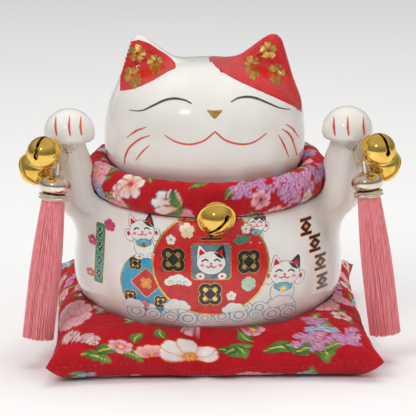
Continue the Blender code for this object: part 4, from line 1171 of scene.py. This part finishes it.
def thin_shell(name, points, faces, lift, finish):
    """A closed skin on the glaze: these points, raised by the lift on top and sunk a little underneath."""
    slope = slope_of(cat_field, points)
    slope /= np.linalg.norm(slope, axis=1)[:, None]
    count = len(points)
    edges = {(a, b) for f in faces for a, b in zip(f, f[1:] + f[:1])}
    solid = faces + [tuple(count + k for k in reversed(f)) for f in faces]
    solid += [(b, a, count + a, count + b) for a, b in edges if (b, a) not in edges]
    mesh = bpy.data.meshes.new(name)
    both = np.concatenate([points + slope * lift, points - slope * 0.1 * MM])
    mesh.from_pydata(both.tolist(), [], solid)
    mesh.materials.append(FINISHES[finish])
    mesh.shade_smooth()
    return mesh


def on_ear_edge(points, loose, surface):
    """Moves the loose points to the ear's smooth edge, on the glaze in front of the ear or behind it."""
    line = smoothed(EAR_EDGE[::4], 40)
    for k in loose:
        across, up = line[np.argmin(np.linalg.norm(line - points[k][[0, 2]], axis=1))]
        side = -1 if points[k][1] < EAR_Y else 1
        hit = surface.ray_cast(Vector((across, 0.3 * side, up)), Vector((0, -side, 0)))[0]
        if hit:
            points[k] = hit
        else:
            points[k][0] = across
    return points


def red_ear(cat, surface):
    """The red enamel over the whole right ear: a skin over the glaze's own faces, up to a smooth edge."""
    points = np.array([v.co for v in cat.data.vertices])
    flat = points[:, [0, 2]]
    crossing = np.interp(flat[:, 0], EAR_EDGE[:, 0], EAR_EDGE[:, 1], left=1, right=-1)
    near = edge_distance(flat, np.concatenate([EAR_EDGE, EAR_EDGE[::-1]]))
    over = np.where(flat[:, 1] > crossing, near, -near)
    beside = (flat[:, 0] < EAR_EDGE[0, 0]) | (flat[:, 0] > EAR_ENAMEL_RIGHT)
    over[beside | (flat[:, 1] < EAR_ENAMEL_FOOT)] = -1
    step = 3 * MM
    kept = [p for p in cat.data.polygons if all(over[v] > -0.5 * step for v in p.vertices)]
    used = sorted({v for p in kept for v in p.vertices})
    place_of = {v: k for k, v in enumerate(used)}
    faces = [tuple(place_of[v] for v in p.vertices) for p in kept]
    edges = {(a, b) for f in faces for a, b in zip(f, f[1:] + f[:1])}
    ends = {k for a, b in edges if (b, a) not in edges for k in (a, b)}
    loose = [k for k in sorted(ends) if over[used[k]] < 1.5 * step]
    shell = draw_onto(cat_field, on_ear_edge(points[used], loose, surface), 3)
    mesh = thin_shell("red_ear", shell, faces, 0.16 * MM, "red")
    return settle(place("ear_enamel_right", mesh), "cat", "glazed_white")


def decorate(cat):
    surface = BVHTree.FromPolygons([v.co for v in cat.data.vertices], [p.vertices for p in cat.data.polygons])
    red_ear(cat, surface)
    for name, paint in (
        ("face_enamel", face_and_paws),
        ("ear_enamel", ear_paint),
        ("belly_disc_enamel", belly_disc),
        ("belly_side_enamel", belly_sides),
        ("wave_enamel", wave_band),
    ):
        glaze = Glaze(surface)
        paint(glaze)
        glaze.fired(name)


# ---- printed cotton ----

PRINT = {  # the colours of the cloth's flowers
    "ground": (0.50, 0.006, 0.014),
    "shade": (0.30, 0.006, 0.02),
    "white": (0.86, 0.80, 0.78),
    "blush": (0.86, 0.50, 0.52),
    "pink": (0.80, 0.16, 0.26),
    "rose": (0.62, 0.03, 0.14),
    "orange": (0.86, 0.26, 0.04),
    "yellow": (0.86, 0.60, 0.10),
    "lilac": (0.36, 0.10, 0.38),
    "mauve": (0.70, 0.42, 0.68),
    "green": (0.01, 0.10, 0.03),
    "lime": (0.16, 0.34, 0.07),
    "blue": (0.10, 0.26, 0.52),
    "sky": (0.42, 0.60, 0.74),
    "ink": (0.03, 0.02, 0.03),
}


class Print:
    """Flat coloured shapes, later ones over earlier ones. Each runs from one colour to another outwards."""

    def __init__(self):
        self.shapes = []

    def add(self, outline, inner, outer=None, centre=None, reach=1.0):
        outline = anticlockwise(np.asarray(outline, float))
        centre = outline.mean(0) if centre is None else np.array(centre)
        self.shapes.append((outline, PRINT[inner], PRINT[outer or inner], centre, reach))

    def edged(self, outline, edge, border, inner, outer=None, centre=None, reach=1.0):
        self.add(grown(outline, border), edge)
        self.add(outline, inner, outer, centre, reach)

    def on(self, mesh, chart):
        """Writes the print attribute: chart gives each point's place on the flat cloth, in millimetres."""
        colour = np.tile(np.array(PRINT["ground"]), (len(chart), 1))
        for outline, inner, outer, centre, reach in self.shapes:
            low, high = outline.min(0) - 0.6, outline.max(0) + 0.6
            near = np.nonzero(((chart > low) & (chart < high)).all(1))[0]
            if not len(near):
                continue
            here = chart[near]
            depth = edge_distance(here, outline) * np.where(within(here, outline), 1, -1)
            cover = np.clip(0.5 + depth / 0.6, 0, 1)[:, None]
            share = np.clip(np.linalg.norm(here - centre, axis=1) / reach, 0, 1)[:, None]
            ink = np.array(inner) * (1 - share) + np.array(outer) * share
            colour[near] = colour[near] * (1 - cover) + ink * cover
        layer = mesh.attributes.new("print", "FLOAT_COLOR", "POINT")
        layer.data.foreach_set("color", np.concatenate([colour, np.ones((len(colour), 1))], 1).ravel())


def printed_peony(cloth_print, x, y, size, turn=0, squash=1.0):
    """A full flower of three tiers of petals, blush at the edges and deep pink in the middle."""
    tiers = ((9, 1, 0.62, "pink"), (7, 0.74, 0.5, "rose"), (5, 0.48, 0.36, "pink"))
    for petals, share, width, inner in tiers:
        for k in range(petals):
            angle = turn + 360 / petals * (k + 0.4 * share)
            outline = petal(0, 0, share * size, width * size, angle, notch=0.08)
            outline = outline * [1, squash] + (x, y)
            cloth_print.edged(outline, "rose", 0.35, inner, "blush", (x, y), share * size * 0.95)
    for k in range(8):
        angle = math.tau * k / 8
        dot = (x + 0.16 * size * math.cos(angle), y + 0.16 * size * math.sin(angle) * squash)
        cloth_print.add(oval(*dot, 0.6, steps=8), "yellow")


def printed_flower(cloth_print, x, y, size, petals, inner, outer, eye, edge="shade", turn=0, width=0.8):
    for k in range(petals):
        outline = petal(x, y, size, width * size, turn + 360 / petals * k, notch=0.06)
        cloth_print.edged(outline, edge, 0.35, inner, outer, (x, y), size * 0.9)
    cloth_print.add(oval(x, y, 0.2 * size, steps=12), eye)


def printed_leaf(cloth_print, x, y, length, turn, width=0.42):
    cloth_print.edged(leaf(x, y, length, width * length, turn), "ink", 0.3, "green", "lime", (x, y), length)
    rib = leaf(x, y, 0.86 * length, 0.06 * length, turn)
    cloth_print.add(rib, "lime", "yellow")


def printed_cluster(cloth_print, x, y, size, chance, inner="lilac", outer="mauve"):
    """A ball of small four-petalled florets."""
    for _ in range(int(5 + size)):
        reach, angle = size * math.sqrt(chance.random()), chance.uniform(0, math.tau)
        spot = (x + reach * math.cos(angle), y + reach * math.sin(angle))
        turn = chance.uniform(0, 90)
        printed_flower(cloth_print, *spot, 3.1, 4, inner, outer, "yellow", "shade", turn, 0.95)


def scatter(cloth_print, chance, width, height, taken, centre=(0, 0), count=60, apart=19):
    """Fills the cloth beyond the placed flowers with more of the same kinds."""
    placed = list(taken)
    for _ in range(count * 12):
        x = centre[0] + chance.uniform(-width, width)
        y = centre[1] + chance.uniform(-height, height)
        if any(math.hypot(x - a, y - b) < apart for a, b in placed):
            continue
        placed.append((x, y))
        for turn in (chance.uniform(0, 120), chance.uniform(150, 330)):
            printed_leaf(cloth_print, x, y, apart * 0.72, turn)
        kind, turn = chance.randrange(5), chance.uniform(0, 90)
        if kind == 0:
            printed_peony(cloth_print, x, y, apart * 0.58, turn)
        elif kind == 1:
            printed_flower(cloth_print, x, y, apart * 0.46, 5, "orange", "white", "ink", "shade", turn)
        elif kind == 2:
            printed_cluster(cloth_print, x, y, apart * 0.36, chance)
        elif kind == 3:
            printed_flower(cloth_print, x, y, apart * 0.4, 6, "rose", "blush", "yellow", "shade", turn)
        else:
            printed_flower(cloth_print, x, y, apart * 0.36, 5, "blue", "sky", "white", "shade", turn)
        if len(placed) >= count + len(taken):
            break


# ---- the collar ----


def collar_frame(angle):
    along = (collar_line(angle + 0.01) - collar_line(angle - 0.01)).normalized()
    outward = along.cross((0, 0, 1)).normalized()
    return collar_line(angle), outward, outward.cross(along)


def collar_fold(angle, turn):
    """How far soft folds raise or lower the collar's cloth."""
    fold = 0.42 * math.sin(23 * angle + 1.4 * math.sin(2 * turn)) * math.cos(turn - 0.6)
    fold += 0.3 * math.sin(41 * angle - 2.1 * turn) + 0.22 * math.sin(9 * angle + 3 * turn + 1)
    outside = 0.5 + 0.5 * math.cos(turn - 0.5)
    return (fold * outside + 0.65 - 0.5 * outside) * MM


def padded_collar():
    steps, sides = ((430, 48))
    start, sweep = math.pi / 2 + COLLAR_PARTING, math.tau - 2 * COLLAR_PARTING
    rings, chart = [], []
    for k in range(steps + 1):
        angle = start + sweep * k / steps
        centre, outward, up = collar_frame(angle)
        end = min(k, steps - k) / steps * 60
        gathered = 1 - 0.28 * max(0, 1 - end) ** 2
        row = []
        for j in range(sides):
            turn = math.tau * j / sides
            fold = collar_fold(angle, turn)
            thick, high = (COLLAR_T + fold) * gathered, (COLLAR_H + fold) * gathered
            row.append(centre + thick * math.cos(turn) * outward + high * math.sin(turn) * up)
            round_turn = (turn + math.pi) % math.tau - math.pi
            from_front = (angle + math.pi / 2 + math.pi) % math.tau - math.pi
            chart.append((math.degrees(from_front) * 1.31, 10.8 * round_turn))
        rings.append(row)
    mesh = skinned("collar", rings, crease=70)
    mesh.materials.append(FINISHES["cloth"])
    collar_print().on(mesh, np.array(chart))
    obj = settle(place("collar_padded", mesh), "cat", "floral_cloth", "collar_sleeve", "collar_wadding")


def collar_print():
    """Across: millimetres round from the front. Up: millimetres round the section from its outermost line."""
    made, chance = Print(), random.Random(11)
    taken = [(-92, 8), (-84, -4), (-53, 7), (-26, 5), (-38, 4), (18, 8)]
    taken += [(31, 1), (44, 8), (58, 4), (72, 8), (84, 2)]
    scatter(made, chance, 236, 26, taken + [(k, 8) for k in range(-70, 100, 12)], count=46, apart=17)
    for x, y, length, turn in (
        (-74, 10, 12, 200), (-66, -4, 11, 170), (-14, 10, 12, 20), (8, 2, 13, 40), (36, 14, 12, 60),
        (52, -2, 12, -30), (66, 0, 12, 10), (24, -8, 11, -60), (80, 12, 12, 100), (-40, 12, 11, 120),
    ):
        printed_leaf(made, x, y, length, turn)
    printed_peony(made, -92, 7, 14, 10)
    for x, y in ((-84, -3), (-80, -8), (-88, -9)):
        printed_flower(made, x, y, 5.5, 5, "blue", "sky", "white")
    printed_flower(made, -55, 8, 11, 6, "orange", "white", "rose", "shade", 15, 0.7)
    printed_flower(made, -64, 0, 6, 5, "pink", "white", "yellow")
    for turn, length in ((150, 19), (172, 20), (196, 19), (128, 14)):
        made.edged(petal(-18, -4, length, 8.5, turn), "ink", 0.6, "orange", "white", (-18, -4), 17)
    for turn in (120, 215):
        made.edged(leaf(-18, -4, 14, 4.5, turn), "ink", 0.4, "lime", "green", (-18, -4), 14)
    clusters = [(20, 9, 7), (32, 12, 7), (45, 7, 8), (58, 10, 8)]
    clusters += [(70, 5, 7), (56, -3, 6), (83, 8, 7), (96, 6, 7)]
    for x, y, size in clusters:
        printed_cluster(made, x, y, size, chance, "lilac", "mauve")
    printed_flower(made, 31, 0, 7, 6, "rose", "blush", "ink", "shade", 20)
    printed_flower(made, 70, -6, 5.5, 5, "pink", "white", "yellow")
    return made


def cloth_tab():
    """The tab behind the neck, with a turned edge along each end."""
    reach = math.radians(13)
    rows, chart = [], []
    count, across = 48, 25
    for k in range(count + 1):
        share = k / count
        angle = math.pi / 2 - reach + 2 * reach * share
        centre, outward, up = collar_frame(angle)
        hem = 0.25 * MM * math.exp(-((min(share, 1 - share) / 0.05) ** 2))
        row = []
        for layer in (0, 1):
            order = range(across) if layer == 0 else reversed(range(across))
            for j in order:
                turn = math.radians(-62 + 124 * j / (across - 1))
                stand = (0.54 + (1.2 * layer)) * MM * (0.98 if layer else 1) + hem * layer
                outwards = (COLLAR_T + stand) * math.cos(turn) * outward
                upwards = (COLLAR_H + stand) * math.sin(turn) * up
                row.append(centre + outwards + upwards)
                chart.append((300 + math.degrees(angle) * 1.31, 10.8 * turn))
        rows.append(row)
    mesh = skinned("tab", rows, crease=40)
    mesh.materials.append(FINISHES["cloth"])
    made = Print()
    scatter(made, random.Random(5), 40, 20, [], (418, 0), 12, 15)
    made.on(mesh, np.array(chart))
    settle(place("collar_tab_cloth", mesh), "cat", "floral_cloth", "collar_tab")


# ---- the cushion ----


def belly_height(x, y):
    """How high the cushion may come under the cat, which keeps clear of it all over."""
    half_x, half_y = (half + DENT_CLEARANCE for half in BODY_HALF)
    plan = min(math.hypot(x / half_x, y / half_y), 1)
    under = BODY_CENTRE[2] - (BODY_DROP + DENT_CLEARANCE) * (1 - plan**2.2) ** (1 / 2.2)
    return max(under, BASE_Z - DENT_CLEARANCE)


def inboard(x, y):
    """How far a point lies inside the seam: the sides pull in between the corners."""
    full = CUSHION_HALF + CUSHION_EAR
    return min(
        CUSHION_HALF + CUSHION_EAR * min(abs(other) / full, 1) ** 4 - abs(here)
        for here, other in ((x, y), (y, x))
    )


def rounding(x, y, width):
    full = CUSHION_HALF + CUSHION_EAR
    share = 1
    for here, other in ((x, y), (y, x)):
        inside = CUSHION_HALF + CUSHION_EAR * min(abs(other) / full, 1) ** 4 - abs(here)
        share *= math.sqrt(1 - (1 - min(max(inside, 0) / width, 1)) ** 2)
    return share


def puckers(x, y, upper):
    """Gathers that run in from the seam, and long soft folds out of each corner, in metres."""
    inside = max(inboard(x, y), 0) / MM
    along = (x if abs(y) > abs(x) else y) / MM
    gather = math.exp(-inside / 9) * (0.9 * math.sin(along / 3.1 + 1.3 * math.sin(along / 11)) - 0.3)
    ripple = math.sin(along / 8.7 + 2 * math.sin(along / 31) + 0.6 * upper)
    fold = 1.1 * math.exp(-(((inside - 13) / 9) ** 2)) * ripple
    corner = abs(abs(x) - abs(y)) / MM
    crease = -2.2 * math.exp(-((corner / 5) ** 2)) * math.exp(-(((inside - 14) / 14) ** 2))
    return (gather + fold + crease) * MM


def side_pinch(x, y):
    """The seam is drawn in near the middle of the front, and a little on the other sides."""
    pinch = 0
    for middle, depth, here, facing in (
        (-7 * MM, 5.5, x, -y),
        (12 * MM, 2.5, x, y),
        (6 * MM, 3.0, y, -x),
        (-10 * MM, 3.0, y, x),
    ):
        if facing > 0.8 * CUSHION_HALF:
            pinch += depth * math.exp(-(((here - middle) / (7 * MM)) ** 2))
    return pinch * MM


def cushion_point(x, y, upper):
    """A point of the cushion's skin over the plan position (x, y)."""
    front = min(max((-y - 20 * MM) / (80 * MM), 0), 1)
    droop = FRONT_DROOP
    for depth, middle, width in FRONT_DROOPS:
        droop += depth * math.exp(-(((x / MM - middle) / width) ** 2))
    seam = CUSHION_SEAM - droop * MM * front + 0.8 * MM * math.sin(x / (23 * MM) + y / (31 * MM))
    top = CUSHION_TOP + 1.5 * MM - (FRONT_LOW - FRONT_CORNERS * min(abs(x) / CUSHION_HALF, 1)) * MM * front
    full = rounding(x, y, TOP_CURVE if upper else UNDERSIDE_CURVE)
    draw, wrinkle = side_pinch(x, y), puckers(x, y, upper)
    if upper:
        z = seam + (top - seam) * full - 0.9 * draw * full + wrinkle * min(3 * full, 1)
        z = min(z, belly_height(x, y) - 0.2 * MM)
    else:
        z = max(seam * (1 - full) + wrinkle * 0.7 * full * (1 - full) * 2, 0)
    edge = math.exp(-max(inboard(x, y), 0) / (10 * MM))
    shrink = 1 - draw * edge / CUSHION_HALF
    return x * (shrink if abs(x) > abs(y) else 1), y * (shrink if abs(y) >= abs(x) else 1), z


def cushion_skin():
    """The whole skin: circles of points under the cat that take on the cushion's outline outside it."""
    spokes = 760
    inner, outer = (0.3, 0.6, 0.8, 0.9), 40
    reaches = [(share, 0) for share in inner] + [(1, k / outer) for k in range(outer + 1)]
    points, chart, faces = [], [], []
    for upper in (True, False):
        base = len(points)
        for share, blend in reaches:
            blend = 1 - (1 - blend) ** 1.3
            for k in range(spokes):
                angle = math.tau * k / spokes
                c, s = math.cos(angle), math.sin(angle)
                longest = max(abs(c), abs(s))
                u, v = c / longest, s / longest
                rim = (u * (CUSHION_HALF + CUSHION_EAR * v**4), v * (CUSHION_HALF + CUSHION_EAR * u**4))
                x, y = (share * DENT_REACH * a * (1 - blend) + blend * r for a, r in zip((c, s), rim))
                point = cushion_point(x, y, upper)
                points.append(point)
                drop = (CUSHION_TOP - point[2]) if upper else (CUSHION_TOP + point[2] - 2 * GAP)
                near_rim = min(max(1 - inboard(x, y) / (30 * MM), 0), 1)
                spread = 1 + drop / max(math.hypot(x, y), 1e-6) * near_rim
                chart.append((x * spread / MM, y * spread / MM + (0 if upper else 600)))
        middle = len(points)
        points.append((0, 0, cushion_point(0, 0, upper)[2]))
        chart.append((0, 0 if upper else 600))
        for k in range(spokes):
            j = (k + 1) % spokes
            faces.append((base + k, base + j, middle))
            for i in range(len(reaches) - 1):
                a, b = base + i * spokes, base + (i + 1) * spokes
                faces.append((a + k, a + j, b + j, b + k))
    last = (len(reaches) - 1) * spokes
    under = len(points) // 2 + last
    for k in range(spokes):
        j = (k + 1) % spokes
        faces.append((last + k, last + j, under + j, under + k))
    return points, chart, faces


def cushion_print():
    """In millimetres on the flat top, with the sides folded outwards. The underside lies 600 further up."""
    made, chance = Print(), random.Random(23)
    taken = [(x, y) for x in range(-110, 120, 15) for y in (-128, -114)]
    taken += [(-105, -60), (-108, -40), (-100, -85), (104, -98)]
    scatter(made, chance, 140, 140, taken, count=60, apart=22)
    scatter(made, chance, 135, 135, [], (0, 600), 45, 27)
    for x, y, length, turn in (
        (-104, -122, 17, -20), (-92, -120, 18, 10), (-76, -118, 16, -35), (-60, -108, 13, 60),
        (2, -116, 20, -25), (8, -122, 19, 25), (16, -112, 15, -60), (38, -120, 22, 8),
        (52, -112, 20, -28), (62, -122, 22, 14), (78, -114, 18, -50), (84, -122, 18, 40),
        (-36, -104, 13, 100), (30, -106, 14, 130),
    ):
        printed_leaf(made, x, y, 1.3 * length, turn, 0.48)
    printed_peony(made, -104, -52, 20, 0, 1.5)
    printed_cluster(made, -104, -98, 8, chance, "pink", "white")
    printed_cluster(made, -92, -103, 7, chance, "rose", "white")
    printed_flower(made, -71, -112, 9.5, 6, "rose", "blush", "yellow", "shade", 10)
    for turn in (60, 95, 130, 165, 20):
        made.edged(petal(-50, -124, 13, 8, turn), "yellow", 0.55, "rose", "blush", (-50, -124), 12)
    for turn, length in ((176, 25), (4, 24), (142, 25), (38, 24), (92, 24)):
        outline = petal(-20, -124, length, 17, turn, 0.08)
        made.edged(outline, "orange", 0.9, "orange", "white", (-20, -126), 13)
    printed_flower(made, -20, -124, 6, 6, "yellow", "orange", "rose")
    clusters = ((66, -106, 8), (80, -110, 8), (92, -106, 8), (104, -108, 7), (76, -98, 7), (98, -96, 7))
    for x, y, size in clusters:
        printed_cluster(made, x, y, size, chance, "lilac", "mauve")
    for x, y in ((70, -92), (78, -90), (86, -93)):
        printed_flower(made, x, y, 5, 5, "blue", "sky", "white")
    for x, y in ((40, 465), (50, 462), (58, 467), (-70, 470)):
        printed_flower(made, x, y, 4.5, 5, "pink", "white", "yellow")
    return made


def cushion():
    points, chart, faces = cushion_skin()
    mesh = mesh_from("cushion", points, faces, crease=75)
    mesh.materials.append(FINISHES["cloth"])
    cushion_print().on(mesh, np.array(chart))
    nodes = ("cushion_top_panel", "cushion_bottom_panel", "cushion_wadding")
    obj = settle(place("cushion_padded", mesh), "cushion", "floral_cloth", *nodes)
    seam_stitches()


def seam_stitches():
    """A short stitch every few millimetres along the seam."""
    shape, count = bmesh.new(), 230
    for k in range(count):
        centre = []
        for nudge in (-0.22, 0.22):
            angle = math.tau * (k + nudge) / count
            c, s = math.cos(angle), math.sin(angle)
            longest = max(abs(c), abs(s))
            u, v = c / longest, s / longest
            x, y = u * (CUSHION_HALF + CUSHION_EAR * v**4), v * (CUSHION_HALF + CUSHION_EAR * u**4)
            centre.append(Vector(cushion_point(x, y, True)))
        a, b = centre
        along = (b - a).normalized()
        side = along.cross((0, 0, 1)).normalized()
        rings = []
        for t, swell in ((0, 0.5), (0.15, 0.9), (0.5, 1.15), (0.85, 0.9), (1, 0.5)):
            spot = a.lerp(b, t) - Vector((0, 0, GAP / 2))
            rings.append(
                [
                    spot + 0.32 * MM * swell * (math.cos(w) * side + math.sin(w) * Vector((0, 0, 1)))
                    for w in (math.tau * q / 6 for q in range(6))
                ]
            )
        shape.from_mesh(skinned("stitch", rings))
    mesh = bpy.data.meshes.new("stitches")
    shape.to_mesh(mesh)
    shape.free()
    mesh.shade_smooth()
    mesh.materials.append(FINISHES["red_thread"])
    settle(place("cushion_stitches", mesh), "cushion", "red_thread")


# ---- what the CAD model's own pieces look like ----


def finish_cad_nodes():
    finish = {"vent_plug": "plug_rubber", "collar_stitch": "red_thread"}
    for name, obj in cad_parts.items():
        if "pellet" in name:
            finish[name] = "steel"
        elif "binding" in name:
            finish[name] = "pink_silk"
    for name, key in finish.items():
        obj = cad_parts[name]
        for slot in obj.material_slots:
            slot.link = "OBJECT"
            slot.material = FINISHES[key]


# ---- the floor, the lights and the camera ----


def stage():
    made, tree, shader = new_material("floor", (0.93, 0.93, 0.93), 0.9)
    tinted(tree, shader, ranged(tree, noise(tree, 3, 2), 0, 1), (0.92, 0.92, 0.92), (0.94, 0.94, 0.94))
    mesh = mesh_from("floor", [(-4, -3, 0), (4, -3, 0), (4, 9, 0), (-4, 9, 0)], [(0, 1, 2, 3)])
    mesh.materials.append(made)
    floor = place("floor", mesh)
    floor.location.z = -0.1 * MM
    world = bpy.data.worlds.new("studio")
    scene.world = world
    world.use_nodes = True
    background = world.node_tree.nodes["Background"]
    tree = world.node_tree
    apart = node(tree, "SeparateXYZ", {"Vector": node(tree, "TexCoord").outputs["Generated"]})
    height = ranged(tree, apart.outputs["Z"], 0, 1)
    low, high = (0.62, 0.61, 0.60, 1), (1.3, 1.29, 1.27, 1)
    sky = node(tree, "MixRGB", {"Fac": height, "Color1": low, "Color2": high})
    tree.links.new(sky.outputs["Color"], background.inputs["Color"])
    background.inputs["Strength"].default_value = 0.42
    for name, spot, size, power in (
        ("key", (-1.0, -1.2, 1.5), 0.9, 12),
        ("fill", (1.4, -1.0, 0.9), 0.8, 5),
        ("top", (0.1, 0.4, 1.7), 1.2, 13),
        ("glint", (-0.7, -1.5, 1.5), 0.3, 1.6),
    ):
        lamp = bpy.data.lights.new(name, "AREA")
        lamp.size, lamp.energy = size, power
        obj = bpy.data.objects.new(name, lamp)
        scene.collection.objects.link(obj)
        obj.visible_glossy = name == "glint"
        obj.location = spot
        obj.rotation_euler = (Vector((0, 0, 0.1)) - Vector(spot)).to_track_quat("-Z", "Y").to_euler()


def camera():
    azimuth, elevation, distance = math.radians(-2.5), math.radians(14), 2.062
    aim = Vector((0, 0, 0.0976))
    level = math.cos(elevation)
    away = Vector((math.sin(azimuth) * level, -math.cos(azimuth) * level, math.sin(elevation)))
    lens = bpy.data.cameras.new("camera")
    lens.lens, lens.sensor_width = 244, 36
    obj = bpy.data.objects.new("camera", lens)
    scene.collection.objects.link(obj)
    obj.location = aim + away * distance
    obj.rotation_euler = away.to_track_quat("Z", "Y").to_euler()
    scene.camera = obj
    scene.view_settings.view_transform = "Standard"


def main():
    camera()
    stage()
    make_finishes()
    decorate(ceramic())
    padded_collar()
    cloth_tab()
    cushion()
    bells = bell_meshes()
    hang_bell("collar_bell", collar_bell_pivot(), COLLAR_BELL_AIM, (1, 0, 0), COLLAR_BELL_ROLL, bells)
    heads = tassel_head()
    for word, side in SIDES.items():
        paw_ornament(word, side, bells, heads)
    finish_cad_nodes()


main()
